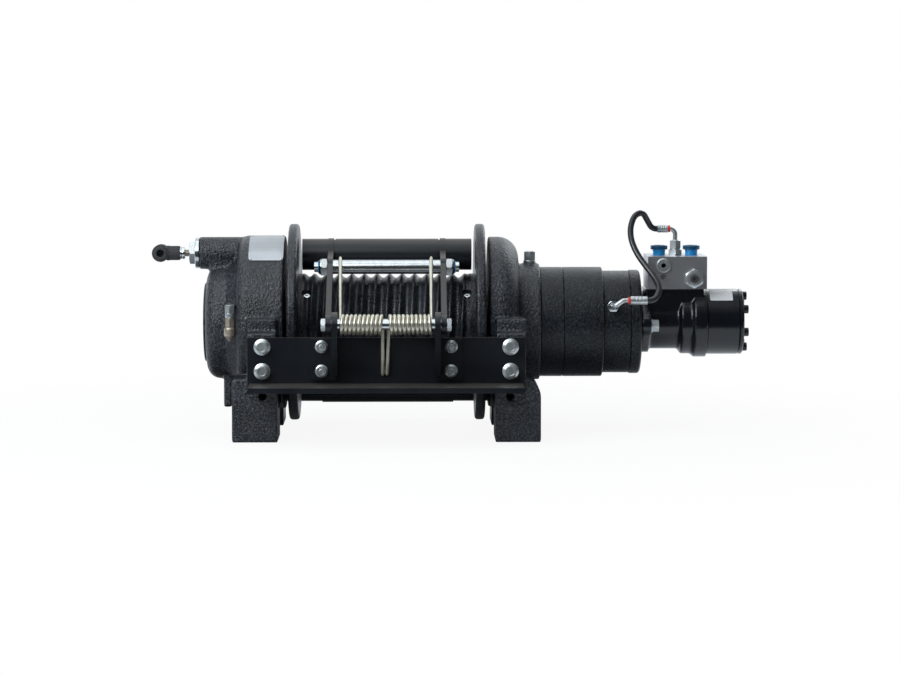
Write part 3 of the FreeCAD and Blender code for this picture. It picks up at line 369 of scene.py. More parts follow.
def emptied(owner):
    """Node tree of a new material or world, without its first nodes."""
    owner.use_nodes = True
    owner.node_tree.nodes.clear()
    return owner.node_tree


def math_node(tree, operation, *values):
    return put(tree, "ShaderNodeMath", dict(enumerate(values)), operation=operation).outputs[0]


def noise(tree, place, scale, detail=2.0, roughness=0.5):
    """Noise from 0 to 1 at a place."""
    return put(tree, "ShaderNodeTexNoise", {
        "Vector": place, "Scale": scale, "Detail": detail, "Roughness": roughness}).outputs["Fac"]


def ramp(tree, value, low, high, to_low=0.0, to_high=1.0, smooth=False):
    """Value brought from one span to another and held at both ends, with soft ends if smooth."""
    return put(tree, "ShaderNodeMapRange", {
        "Value": value, "From Min": low, "From Max": high, "To Min": to_low, "To Max": to_high},
        interpolation_type="SMOOTHSTEP" if smooth else "LINEAR").outputs[0]


def mixed(tree, share, first, second):
    """Mix of two colours, each a value or a socket."""
    first, second = [value if isinstance(value, bpy.types.NodeSocket) else (*value, 1.0)
                     for value in (first, second)]
    return put(tree, "ShaderNodeMix", {"Factor": share, 6: first, 7: second},
               data_type="RGBA").outputs[2]


def glow(tree, kind, tint, strength):
    """Background or emission of a colour and strength."""
    return put(tree, kind, {"Color": (*tint, 1.0), "Strength": strength}).outputs[0]


def by_ray(tree, seen, mirrored, other):
    """One shader for the camera's own rays, one for mirrored or bent rays, one for all others."""
    path = put(tree, "ShaderNodeLightPath").outputs
    glossy = math_node(tree, "MAXIMUM", path["Is Glossy Ray"], path["Is Transmission Ray"])
    lit = put(tree, "ShaderNodeMixShader", {0: glossy, 1: other, 2: mirrored}).outputs[0]
    return put(tree, "ShaderNodeMixShader", {0: path["Is Camera Ray"], 1: lit, 2: seen}).outputs[0]


def new_effect(name, values):
    """Node group with the given inputs that is to give Height, Tone and Gloss at a place."""
    group = bpy.data.node_groups.new(name, "ShaderNodeTree")
    for label, value in values.items():
        made = group.interface.new_socket(label, in_out="INPUT", socket_type="NodeSocketFloat")
        made.default_value = value
    for label in ("Height", "Tone", "Gloss"):
        group.interface.new_socket(label, in_out="OUTPUT", socket_type="NodeSocketFloat")
    place = put(group, "ShaderNodeTexCoord").outputs["Object"]
    return group, put(group, "NodeGroupInput").outputs, place


def end_effect(group, height, tone, gloss):
    put(group, "NodeGroupOutput", {"Height": height, "Tone": tone, "Gloss": gloss})


def build_cast_skin():
    """Sand-cast skin under paint: close pimples, broader lumps and a slow drift of tone."""
    group, given, place = new_effect("cast_skin", {"Grain": 420.0, "Lumps": 90.0})
    grain = noise(group, place, given["Grain"], 2.5, 0.55)
    lumps = noise(group, place, given["Lumps"])
    drift = noise(group, place, 14.0)
    pits = ramp(group, grain, 0.36, 0.66)
    # Tone is highest on the pimples' tops; the cast finishes give it a paler colour there as
    # painted glints.
    end_effect(group, math_node(group, "MULTIPLY_ADD", lumps, 0.6, pits),
               math_node(group, "MULTIPLY", pits, drift), drift)


def build_paint_peel():
    """Orange peel of sprayed paint on a smooth part, with faint specks of grit."""
    group, given, place = new_effect("paint_peel", {"Scale": 260.0})
    specks = ramp(group, noise(group, place, 900.0, 1.0), 0.68, 0.78)
    end_effect(group, noise(group, place, given["Scale"], 1.0), specks,
               noise(group, place, 22.0, 3.0))


def build_plating():
    """Zinc plate: soft clouds of tone, hair-fine scratches and a little waviness."""
    group, given, place = new_effect("plating", {"Clouds": 120.0})
    clouds = noise(group, place, given["Clouds"], 3.0, 0.6)
    stretch = put(group, "ShaderNodeMapping", {"Vector": place, "Scale": (300.0, 2600.0, 2600.0)})
    scratches = noise(group, stretch.outputs[0], 1.0)
    end_effect(group, scratches, clouds, math_node(group, "MULTIPLY", clouds, scratches))


def build_cutter_lines():
    """Marks of a face cutter: fine lines along X crossed by slow bands, and stains."""
    group, given, place = new_effect("cutter_lines", {"Lines": 1500.0})
    stretch = put(group, "ShaderNodeVectorMath", {0: place, 1: (0.04, 1.0, 1.0)},
                  operation="MULTIPLY").outputs[0]
    lines = noise(group, stretch, given["Lines"])
    bands = noise(group, stretch, 70.0)
    stains = noise(group, place, 32.0, 4.0)
    end_effect(group, lines, math_node(group, "MULTIPLY", bands, stains),
               math_node(group, "MULTIPLY_ADD", stains, 0.6,
                         math_node(group, "MULTIPLY", lines, 0.4)))


TONES = {"cast_skin": (0.14, 0.5), "paint_peel": (0.0, 1.0), "plating": (0.3, 0.7),
         "cutter_lines": (0.14, 0.34)}


def finish_with(name, effect, dark, light, rough, bump, metallic=0.0, coat=0.0, coat_rough=0.1,
                specular=0.5, tone=None, painted_top_light=None, effect_values=None):
    """Material on one shared effect: Tone mixes two colours, Gloss sets roughness, Height bumps.

    A painted top light, where it is given, turns the faces that look up to a paler colour, standing
    for light from above.
    """
    material = bpy.data.materials.new(name)
    tree = emptied(material)
    given = put(tree, "ShaderNodeGroup", effect_values,
                node_tree=bpy.data.node_groups[effect]).outputs
    base = mixed(tree, ramp(tree, given["Tone"], *(tone or TONES[effect])), dark, light)
    # Painted top light: faces whose normal points up are mixed towards a paler colour.
    if painted_top_light is not None:
        normal = put(tree, "ShaderNodeNewGeometry").outputs["Normal"]
        upward = put(tree, "ShaderNodeSeparateXYZ", {0: normal}).outputs["Z"]
        base = mixed(tree, ramp(tree, upward, 0.6, 0.98), base, painted_top_light)
    relief = put(tree, "ShaderNodeBump", {
        "Strength": 1.0, "Distance": bump * MM, "Height": given["Height"]})
    shader = put(tree, "ShaderNodeBsdfPrincipled", {
        "Base Color": base, "Roughness": ramp(tree, given["Gloss"], 0.3, 0.7, *rough),
        "Metallic": metallic, "Specular IOR Level": specular, "Coat Weight": coat,
        "Coat Roughness": coat_rough, "Normal": relief.outputs[0]})
    put(tree, "ShaderNodeOutputMaterial", {0: shader.outputs[0]})
    material.diffuse_color = (*light, 1.0)


def shade(tint, share):
    return tuple(min(1.0, channel * share) for channel in tint)


class WINCH_OT_finishes(bpy.types.Operator):
    """Build the finishes and give each node of the frame its own"""
    bl_idname = "winch.finishes"
    bl_label = "Finishes"

    def execute(self, context):
        build_cast_skin()
        build_paint_peel()
        build_plating()
        build_cutter_lines()
        tint = colours()
        # The three cast finishes paint the tops of their grain paler: painted glints of light.
        finish_with("cast_black", "cast_skin", tint.casting, tint.casting_glints, (0.26, 0.38), 0.6,
                    specular=0.6, effect_values={"Grain": 360.0})
        finish_with("drum_black", "cast_skin", tint.drum_paint, tint.drum_glints, (0.24, 0.34), 0.3,
                    effect_values={"Grain": 420.0, "Lumps": 120.0})
        finish_with("fine_black", "cast_skin", tint.brake_paint, tint.brake_glints, (0.24, 0.36), 0.3,
                    specular=0.4, tone=(0.16, 0.5), effect_values={"Grain": 440.0, "Lumps": 150.0})
        for name, effect, hue, low, high, rough, bump, more in (
                # satin_black paints its upward faces paler as a painted top light.
                ("satin_black", "paint_peel", tint.smooth_paint, 1.0, 2.4, (0.28, 0.40), 0.05,
                 {"painted_top_light": tint.painted_top_light}),
                ("gloss_black", "paint_peel", tint.motor_paint, 1.0, 2.2, (0.18, 0.28), 0.10,
                 {"coat": 0.3, "coat_rough": 0.12, "effect_values": {"Scale": 170.0}}),
                ("bright_zinc", "plating", tint.zinc, 0.80, 1.0, (0.18, 0.32), 0.012,
                 {"metallic": 1.0}),
                ("bolt_zinc", "plating", tint.zinc, 0.70, 1.0, (0.34, 0.48), 0.03,
                 {"metallic": 0.88}),
                ("spring_zinc", "plating", tint.spring, 0.72, 1.0, (0.30, 0.44), 0.012,
                 {"metallic": 0.85, "effect_values": {"Clouds": 60.0}}),
                ("dull_brass", "plating", tint.brass, 0.7, 1.0, (0.38, 0.52), 0.02,
                 {"metallic": 0.8}),
                ("block_aluminium", "cutter_lines", tint.block, 0.72, 1.0, (0.34, 0.52), 0.03,
                 {"metallic": 0.85}),
                ("plate_aluminium", "cutter_lines", tint.plate, 0.85, 1.0, (0.36, 0.5), 0.01,
                 {"metallic": 0.7}),
                ("cap_blue", "paint_peel", tint.cap, 1.0, 1.3, (0.22, 0.34), 0.03, {"coat": 0.3}),
                ("cap_navy", "paint_peel", tint.cap_rim, 1.0, 1.6, (0.2, 0.3), 0.05, {"coat": 0.5}),
                ("black_plastic", "paint_peel", tint.plastic, 1.0, 2.0, (0.30, 0.42), 0.03, {}),
                ("hose_cover", "paint_peel", tint.hose, 1.0, 1.8, (0.24, 0.34), 0.04,
                 {"coat": 0.25}),
                ("ring_red", "paint_peel", tint.ring, 1.0, 1.2, (0.3, 0.4), 0.02, {}),
                ("pale_label", "paint_peel", tint.label, 0.92, 1.0, (0.4, 0.5), 0.01, {}),
                ("insert_blue", "paint_peel", tint.insert, 1.0, 1.2, (0.3, 0.4), 0.02, {})):
            finish_with(name, effect, shade(hue, low), shade(hue, high), rough, bump, **more)
        by_slot = {
            "black_drum": "drum_black", "black_casting": "cast_black", "black_paint": "satin_black",
            "zinc": "bright_zinc", "spring_wire": "spring_zinc", "brass": "dull_brass",
            "block_aluminium": "block_aluminium", "black_plastic": "black_plastic",
            "blue_plastic": "cap_blue", "hose_rubber": "hose_cover"}
        by_node = {
            "motor_body": "gloss_black", "motor_gear_set": "gloss_black",
            "motor_end_cover": "gloss_black", "brake_ring": "fine_black",
            "brake_housing": "fine_black", "brake_cylinder": "fine_black",
            "motor_adapter": "fine_black", "gear_end_cover": "cast_black",
            "hose_elbow_top": "bolt_zinc", "hose_elbow_bottom": "bolt_zinc"}
        for part in frame["record"]["subparts"]:
            node = frame["nodes"][part["node"]]
            finish = by_node.get(part["node"], by_slot[part["material_slot"]])
            node.data.materials.clear()
            node.data.materials.append(bpy.data.materials[finish])
        return {"FINISHED"}


# Stage

class WINCH_OT_stage(bpy.types.Operator):
    """Set the camera, the lights and the pale floor"""
    bl_idname = "winch.stage"
    bl_label = "Stage"

    SENSOR = 36.0
    CAMERA_AT, CAMERA_AIM = (0.028, -4.2, 0.491), (0.0882, 0.0, 0.1306)
    LAMP_TINT = (0.90, 0.96, 1.0)
    FLOOR_HALF, FLOOR_Z = 6.0, -0.0004

    def execute(self, context):
        values = stage_values()
        scene = context.scene
        scene.view_settings.view_transform = "Standard"
        lens = bpy.data.cameras.new("camera")
        lens.lens = values.lens
        lens.sensor_width = self.SENSOR
        scene.camera = self.placed(scene, "camera", lens, self.CAMERA_AT, self.CAMERA_AIM)
        for name, place, aim, power, wide, deep in (
                ("top_lamp", (-0.4, -0.3, 1.9), (-0.4, -0.3, 0.0), values.top_light, 1.9, 1.8),
                ("side_lamp", (-1.35, -1.35, 1.2), (-0.2, 0.0, 0.2), values.side_light, 0.9, 0.9),
                ("front_lamp", (-0.65, -1.3, 1.25), (0.0, 0.0, 0.15), values.front_light, 1.5, 1.0),
                ("rear_lamp", (1.2, 1.9, 1.4), (0.0, 0.0, 0.15), values.rear_light, 1.2, 0.8)):
            data = bpy.data.lights.new(name, "AREA")
            data.shape = "RECTANGLE"
            data.size = wide
            data.size_y = deep
            data.energy = power
            data.color = self.LAMP_TINT
            self.placed(scene, name, data, place, aim)
        self.build_room(scene, values.sky)
        self.build_floor()
        return {"FINISHED"}

    def placed(self, scene, name, data, place, aim):
        """Camera or lamp at a place, turned to look at its aim."""
        item = bpy.data.objects.new(name, data)
        item.location = place
        item.rotation_euler = (Vector(aim) - Vector(place)).to_track_quat("-Z", "Y").to_euler()
        scene.collection.objects.link(item)
        return item

    def build_room(self, scene, strength):
        """Pale room: white to the camera, and for shiny parts bright behind and dim elsewhere."""
        room = bpy.data.worlds.new("room")
        tree = emptied(room)
        direction = put(tree, "ShaderNodeTexCoord").outputs["Generated"]
        sides = put(tree, "ShaderNodeSeparateXYZ", {0: direction}).outputs
        above = ramp(tree, sides["Z"], 0.5, 0.8, 0.04, 0.2, smooth=True)
        behind = ramp(tree, sides["Y"], 0.1, 0.7, smooth=True)
        white = glow(tree, "ShaderNodeBackground", (1, 1, 1), 1.0)
        light = glow(tree, "ShaderNodeBackground", (0.91, 0.96, 1), strength)
        mirrored = glow(tree, "ShaderNodeBackground", (0.92, 0.97, 1),
                        math_node(tree, "MAXIMUM", above, behind))
        put(tree, "ShaderNodeOutputWorld", {0: by_ray(tree, white, mirrored, light)})
        scene.world = room

    def build_floor(self):
        """Wide pale floor that keeps a faint shadow and fades to white far away.

        Shiny parts see it pale near the winch, with a painted shadow under the winch itself, and
        dim beyond the front edge of the table.
        """
        tree = emptied(bpy.data.materials.new("studio_floor"))
        place = put(tree, "ShaderNodeTexCoord").outputs["Object"]
        sides = put(tree, "ShaderNodeSeparateXYZ", {0: place}).outputs
        tone = ramp(tree, noise(tree, place, 3.0), 0.0, 1.0, 0.985, 1.0)
        base = mixed(tree, tone, (0.84, 0.84, 0.84), colours().floor)
        matt = put(tree, "ShaderNodeBsdfPrincipled", {
            "Base Color": base, "Roughness": 0.9, "Specular IOR Level": 0.0}).outputs[0]
        distance = put(tree, "ShaderNodeVectorMath", {0: place}, operation="LENGTH")
        far = ramp(tree, distance.outputs["Value"], 0.3, 1.0, 0.91, 1.0, smooth=True)
        white = glow(tree, "ShaderNodeEmission", (1, 1, 1), 1.0)
        shown = put(tree, "ShaderNodeMixShader", {0: far, 1: matt, 2: white}).outputs[0]
        table = ramp(tree, sides["Y"], -0.50, -0.42, 0.04, 0.85, smooth=True)
        under = ramp(tree, sides["Y"], -0.22, -0.12)
        beside = ramp(tree, math_node(tree, "ABSOLUTE", sides["X"]), 0.44, 0.34)
        behind = ramp(tree, sides["Y"], 0.25, 0.12)
        shadow = math_node(tree, "MULTIPLY", math_node(tree, "MULTIPLY", under, beside), behind)
        lit = math_node(tree, "MULTIPLY_ADD", shadow, -0.9, 1.0)
        mirrored = glow(tree, "ShaderNodeEmission", (0.86, 0.93, 1),
                        math_node(tree, "MULTIPLY", table, lit))
        put(tree, "ShaderNodeOutputMaterial", {0: by_ray(tree, shown, mirrored, matt)})
        half = self.FLOOR_HALF
        corners = np.array([(-half, -half, self.FLOOR_Z), (half, -half, self.FLOOR_Z),
                            (half, half, self.FLOOR_Z), (-half, half, self.FLOOR_Z)])
        piece("floor", (corners, [[0, 1, 2, 3]]), "studio_floor", None)


# Castings

CORNER = math.pi / 6
LEFT, FRONT, UP, DOWN = (-1, 0, 0), (0, -1, 0), (0, 0, 1), (0, 0, -1)


class WINCH_OT_castings(bpy.types.Operator):
    """Round the edges and hollows of the castings and break the edges of the machined parts"""
    bl_idname = "winch.castings"
    bl_label = "Castings"

    def execute(self, context):
        for name, voxel, passes in (("gear_housing", 1.9, 7), ("motor_side_housing", 1.9, 7),
                                    ("motor_body", 1.3, 6)):
            node = frame["nodes"][name]
            remesh = node.modifiers.new("cast_form", "REMESH")
            remesh.mode = "VOXEL"
            remesh.voxel_size = voxel * MM
            remesh.use_smooth_shade = True
            smooth = node.modifiers.new("cast_rounding", "SMOOTH")
            smooth.factor = 0.5
            smooth.iterations = passes
        for name, width in (("valve_block", 0.7), ("front_angle", 0.9), ("tensioner_arm_left", 0.7),
                            ("tensioner_arm_right", 0.7), ("tensioner_lug_left", 0.7),
                            ("tensioner_lug_right", 0.7), ("cross_rod", 0.4), ("press_tube", 0.5)):
            bevel = frame["nodes"][name].modifiers.new("broken_edges", "BEVEL")
            bevel.width = width * MM
            bevel.segments = 2
            bevel.limit_method = "ANGLE"
            bevel.angle_limit = math.radians(40)
        return {"FINISHED"}


# Drum

class WINCH_OT_drum(bpy.types.Operator):
    """Cut the helical rope groove into the barrel and set its rope clamps"""
    bl_idname = "winch.drum"
    bl_label = "Drum"

    CLAMP = math.radians(41)
    CLAMP_X = 111.0
    FIRST_GROOVE = -9.4
    PLAIN_END, RUN_OUT = 6.0, 12.0
    PIT_RADIUS, PIT_WALL, PIT_DEPTH = 6.4, 0.7, 9.6
    SCREW_DEPTH = 9.4
    JOURNAL_RADIUS, HUB_RADIUS = 45.0, 58.0

    def execute(self, context):
        near = np.linspace(self.CLAMP_X - 8, self.CLAMP_X + 8, 33)
        whole = np.linspace(-BARREL_HALF, BARREL_HALF, 261)
        grooves = np.unique(np.concatenate([whole, near, -near]).round(3))
        ends = np.array([barrel_high[0], FLANGE_FACE, FLANGE_FACE, BARREL_HALF])
        radii = np.repeat([self.JOURNAL_RADIUS, self.HUB_RADIUS], 2)
        x = np.concatenate([-ends, grooves, ends[::-1]])[:, None]
        plain = np.concatenate([radii, np.full(len(grooves), BARREL_RADIUS), radii[::-1]])[:, None]
        by_clamp = math.pi - self.CLAMP + np.linspace(-0.13, 0.13, 41)
        turn = np.unique(np.concatenate([circle(168), by_clamp]).round(5))
        radius = plain - self.groove(x, turn) * (plain == BARREL_RADIUS)
        fit("grooved_barrel", revolved(x, radius, turn), "drum_black", "black_drum", "drum_barrel",
            body="drum")
        rim = turned([(0, 5.9), (1.2, 5.9), (1.6, 5.5), (1.6, 2.6), (0.2, 2.6)], 0.2)
        screw = joined(rim, socket(4.0, 1.2, 1.6, 2.6))
        out = np.array([0.0, -math.cos(self.CLAMP), math.sin(self.CLAMP)])
        seat = (BARREL_RADIUS - self.SCREW_DEPTH) * out
        screws = [moved(screw, seat + (self.CLAMP_X * side, 0, 0), out, CORNER) for side in (-1, 1)]
        fit("rope_clamp_screws", joined(*screws), "bright_zinc", "zinc", body="drum")
        return {"FINISHED"}

    def groove(self, x, turn):
        """Depth at a place: a rounded wave along the axis whose phase turns once in a pitch.

        The wave is the cosine squared, raised to 0.85, and it runs out near both flanges. A round
        pit with a short sloping wall lies at each end, where the rope's clamp screw sits.
        """
        pitch = sizes().groove_pitch / MM
        start = self.FIRST_GROOVE - pitch * (turn - math.pi) / (2 * math.pi)
        wave = np.abs(np.cos(math.pi * (x - start) / pitch)) ** 1.7
        inward = np.clip((BARREL_HALF - self.PLAIN_END - np.abs(x)) / self.RUN_OUT, 0, 1)
        off = np.hypot(np.abs(x) - self.CLAMP_X, BARREL_RADIUS * (turn - math.pi + self.CLAMP))
        pit = np.clip((self.PIT_RADIUS - off) / self.PIT_WALL, 0, 1)
        rope = sizes().groove_depth / MM * wave * inward * inward * (3 - 2 * inward)
        return rope + (self.PIT_DEPTH - rope) * pit


# Tensioner

PIVOT_Y, PIVOT_Z = -176.0, 10.0
ROD_Y, ROD_Z = -60.0, 80.6
SPRING_REST_Y, SPRING_REST_Z = -156.1, -61.0


class WINCH_OT_springs(bpy.types.Operator):
    """Wind the two torsion springs round the pivot, each with a leg down and a leg over the rod"""
    bl_idname = "winch.springs"
    bl_label = "Springs"

    COIL_STEPS, LEG_STEPS, ARM_STEPS = 480, 40, 60
    ROD_GAP, OVERHANG = 0.3, 7.0
    ROUNDED_END = np.array([0.35, 0.78, 0.95, 1.0])

    def execute(self, context):
        for name, side, inner, outer, foot, splay in (("spring_left", -1, 5.0, 61.9, 5.0, 2.0),
                                                      ("spring_right", 1, 3.8, 60.9, 1.0, 0.3)):
            path = self.centre_line(inner, outer, foot, splay)
            path[:, 0] *= side
            radius = np.full(len(path), sizes().wire_radius / MM)
            radius[:4] *= self.ROUNDED_END
            radius[-4:] *= self.ROUNDED_END[::-1]
            points, faces = tube(path, radius, np.full(path.shape, (1.0, 0.0, 0.0)), 14)
            item = piece(f"{name}_wire", (points * MM + world(0, 0, 0), faces), "spring_zinc",
                         None, sharp=60)
            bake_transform(item)
            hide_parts(name)
        return {"FINISHED"}

    def centre_line(self, inner, outer, foot, splay):
        """Leg up from the plate, helix about the pivot, and leg on a tangent over the rod.

        The helix advances along X in step with its angle: y and z are the coil radius times the
        cosine and sine, and it starts and ends where the tangents to the two legs leave.
        """
        coil = sizes().coil_radius / MM
        down = (SPRING_REST_Y - PIVOT_Y, SPRING_REST_Z - PIVOT_Z)
        first = math.atan2(down[1], down[0]) + math.acos(coil / math.hypot(*down))
        reach = (ROD_Y - PIVOT_Y, ROD_Z - PIVOT_Z)
        span = math.hypot(*reach)
        low, high = extent("cross_rod")
        over_rod = (high[2] - low[2]) / 2 + sizes().wire_radius / MM + self.ROD_GAP
        crossing = math.asin((coil + over_rod) / span)
        climb = math.atan2(reach[1], reach[0]) + crossing
        last = climb - math.pi / 2 + 2 * math.pi * sizes().coil_turns
        angle = np.linspace(first, last, self.COIL_STEPS)
        helix = np.stack([np.linspace(inner, outer, self.COIL_STEPS),
                          PIVOT_Y + coil * np.cos(angle), PIVOT_Z + coil * np.sin(angle)], axis=1)
        leg = np.linspace((foot, SPRING_REST_Y, SPRING_REST_Z), helix[0], self.LEG_STEPS)[:-1]
        length = span * math.cos(crossing) + self.OVERHANG
        tip = helix[-1] + (splay, length * math.cos(climb), length * math.sin(climb))
        arm = np.linspace(helix[-1], tip, self.ARM_STEPS)[1:]
        return np.concatenate([leg, helix, arm])


class WINCH_OT_tensioner(bpy.types.Operator):
    """Add the lock nuts of the cross rod and the hexagon heads of the pivot"""
    bl_idname = "winch.tensioner"
    bl_label = "Tensioner"

    def execute(self, context):
        arm = extent("tensioner_arm_right")[1][0]
        for name, side in (("left", -1), ("right", 1)):
            place = (arm * side, ROD_Y, ROD_Z)
            nut = joined(hex_solid(23.0, 9.1, both=True),
                         turned([(8.8, 10.8), (9.6, 10.8), (12.2, 9.2), (12.3, 7.1)], 0.8))
            fit(f"lock_nut_{name}", nut, "bright_zinc", "zinc", f"rod_nut_{name}", at=place,
                toward=(side, 0, 0), spin=CORNER, body="tensioner")
            ring = turned([(12.0, 8.6), (13.3, 8.2), (13.3, 7.0), (12.0, 7.0)], 0.3)
            fit(f"nylon_ring_{name}", ring, "insert_blue", "blue_plastic", at=place,
                toward=(side, 0, 0), body="tensioner")
        head = arm + 0.5
        shaft = turned([(-head, 8.0), (head, 8.0)], 0.1)
        heads = [moved(hex_solid(17.0, 6.0), (head * side, 0, 0), (side, 0, 0), CORNER)
                 for side in (-1, 1)]
        fit("pivot_bolt", joined(shaft, *heads), "bright_zinc", "zinc", "pivot_shaft",
            at=(0, PIVOT_Y, PIVOT_Z))
        return {"FINISHED"}


# Bolts and screws

class WINCH_OT_bolts(bpy.types.Operator):
    """Set the bolts of the angle, the lugs, the motor flange and the motor's end"""
    bl_idname = "winch.bolts"
    bl_label = "Bolts"

    PLATE_THICK = 7.2
    LUG_BASE_THICK = 6.0
    FRAME_PLACES = ((-168, -22), (-168, -55), (168, -22), (168, -55))
    LUG_PLACES = ((-87.5, -21), (-87.5, -54), (87.5, -21), (87.5, -54))
    FLANGE_THICK = 13.0
    FLANGE_BOLT_Y, FLANGE_BOLT_Z = 53.0, -1.6
    SCREW_COUNT, SCREW_CIRCLE = 7, 36.5
    SCREW_PHASE = math.radians(6.5)

    def execute(self, context):
        plate = extent("front_angle")[1][1] - self.PLATE_THICK
        bolt = flanged_bolt(sizes().frame_bolt / MM, 8.0, 11.3, 2.8, 0.9)
        nut = self.nut_on_stud(sizes().lug_nut / MM)
        for name, shape, y, places, step in (
                ("frame_bolt", bolt, plate, self.FRAME_PLACES, 0.3),
                ("lug_nut", nut, plate - self.LUG_BASE_THICK, self.LUG_PLACES, 0.4)):
            for number, (x, z) in enumerate(places, 1):
                fit(f"{name}_{number}", shape, "bolt_zinc", "zinc", at=(x, y, z), toward=FRONT,
                    spin=step * number)
        flange = extent("motor_adapter")[1][0] + self.FLANGE_THICK
        head = joined(turned([(0, 10.2), (1.6, 10.2), (1.6, 0.4)], 0.4),
                      hex_solid(16.0, 9.2, 1.6, mark=0.4))
        for name, side in (("front", -1), ("rear", 1)):
            fit(f"motor_bolt_{name}", head, "bolt_zinc", "zinc", spin=CORNER,
                at=(flange, self.FLANGE_BOLT_Y * side, self.FLANGE_BOLT_Z))
        end = extent("motor_end_cover")[1][0]
        radius = sizes().cap_screw / MM / 2
        screw = turned([(0, radius), (6.0, radius), (6.6, radius - 0.7), (6.6, 4.2), (3.4, 3.6),
                        (3.4, 0.3)], 0.3, 40)
        screws = [moved(screw, (end, self.SCREW_CIRCLE * math.sin(angle),
                                self.SCREW_CIRCLE * math.cos(angle)))
                  for angle in circle(self.SCREW_COUNT) - self.SCREW_PHASE]
        fit("motor_screws", joined(*screws), "satin_black", "black_paint")
        return {"FINISHED"}

    def nut_on_stud(self, across):
        """Flanged nut with a countersunk mouth round the flush end of its stud."""
        flange = turned([(0, 8.9), (1.0, 8.9), (2.4, across * 0.5), (2.4, 0.4)], 0.3)
        x = np.array([2.0, 6.2, 7.0, 7.0, 5.4, 5.4])[:, None]
        cone = np.array([[99.0], [across / 2 * 1.12], [across / 2 * 0.96]])
        body = np.minimum(hexagon(HEX_TURN, across), cone)
        mouth = np.array([[5.3], [4.3], [0.3]]) + 0 * HEX_TURN
        nut = revolved(x, np.concatenate([body, mouth]), HEX_TURN)
        stud = turned([(5.0, 3.9), (6.6, 3.9), (7.3, 3.2), (7.3, 0.3)], 0.3)
        return joined(flange, nut, stud)


# Clutch, relief valve and breather

class WINCH_OT_clutch(bpy.types.Operator):
    """Build the clutch's plug, nipple, collar and push-in elbow"""
    bl_idname = "winch.clutch"
    bl_label = "Clutch"

    BOSS_Z = 96.6
    THREAD_PITCH = 1.25
    ELBOW_TURN = (53.8, -12.5, 0)

    def execute(self, context):
        start = (extent("clutch_plug")[1][0], 0, self.BOSS_Z)
        plug = joined(turned([(0, 21.5), (4.6, 21.5), (5.5, 20.8), (5.5, 0.4)], 0.5, 96),
                      hex_solid(29.5, 8.4, 5.3))
        fit("clutch_hex_plug", plug, "bright_zinc", "zinc", "clutch_plug", at=start, toward=LEFT,
            spin=CORNER)
        x = np.linspace(13.4, 20.4, 60)
        thread = 4.6 + 0.35 * np.sin(2 * math.pi * x / self.THREAD_PITCH)
        fit("clutch_thread", lathe(np.stack([x, thread], axis=1), 48), "dull_brass", "brass",
            "clutch_nipple", at=start, toward=LEFT)
        ring = turned([(20.0, 6.0), (20.0, 8.4), (22.4, 8.8), (24.4, 8.2), (25.4, 8.8), (26.8, 8.8),
                       (26.8, 0.4)], 0.5)
        fit("clutch_ring", ring, "bright_zinc", "zinc", "clutch_collar", at=start, toward=LEFT)
        neck = turned([(26.8, 9.2), (28.0, 10.0), (40.0, 10.0), (44.5, 10.6), (48.0, 9.0)], 1.0)
        head = turned([(0, 9.6), (1.4, 12.0), (22.6, 12.0), (23.6, 11.2), (23.6, 9.4), (24.6, 9.0),
                       (25.0, 7.6), (25.0, 5.2), (14.0, 5.0), (14.0, 0.3)], 0.7)
        fit("push_in_elbow", joined(neck, moved(head, self.ELBOW_TURN, (0, 1, 0))),
            "black_plastic", "black_plastic", "clutch_elbow", at=start, toward=LEFT)
        return {"FINISHED"}


class WINCH_OT_relief(bpy.types.Operator):
    """Build the relief valve and its elbow on the gear housing"""
    bl_idname = "winch.relief"
    bl_label = "Relief valve"

    FRONT_Y, BLOCK_TOP, VALVE_TOP = -101.0, 31.4, 25.7

    def execute(self, context):
        x = middle("relief_elbow")[0]
        stub = moved(turned([(0, 5.2), (10, 5.2), (10, 0.4)], 0.6), (5.8, 0, 0), DOWN)
        block = joined(hex_solid(12.6, 11.6, both=True), stub)
        fit("relief_block", block, "bolt_zinc", "zinc", "relief_elbow",
            at=(x, self.FRONT_Y, self.BLOCK_TOP), toward=DOWN)
        place = (x, self.FRONT_Y, self.VALVE_TOP)
        ring = turned([(4.6, 5.4), (6.0, 6.4), (11.0, 6.4), (12.4, 5.6), (12.8, 3.0)], 0.6)
        fit("relief_ring", ring, "bolt_zinc", "zinc", at=place, toward=DOWN)
        valve = joined(hex_solid(11.4, 13.2, 12.4, both=True),
                       turned([(25.4, 5.0), (25.4, 7.2), (27.0, 8.0), (36.0, 8.0), (37.2, 7.4),
                               (41.0, 4.0), (44.2, 2.0), (44.6, 0.4)], 0.8))
        fit("relief_body", valve, "dull_brass", "brass", "relief_valve", at=place, toward=DOWN)
        return {"FINISHED"}


class WINCH_OT_breather(bpy.types.Operator):
    """Build the breather on top of the neck"""
    bl_idname = "winch.breather"
    bl_label = "Breather"

    def execute(self, context):
        place = (middle("top_breather")[0], 0, extent("top_breather")[0][2])
        cap = joined(turned([(0, 8.6), (2.6, 8.6), (3.5, 7.6), (3.5, 0.4)], 0.5),
                     hex_solid(15.0, 12.5, 3.3, mark=0.5))
        fit("breather_cap", cap, "bolt_zinc", "zinc", "top_breather", at=place, toward=UP)
        return {"FINISHED"}


# Valve block and brake line

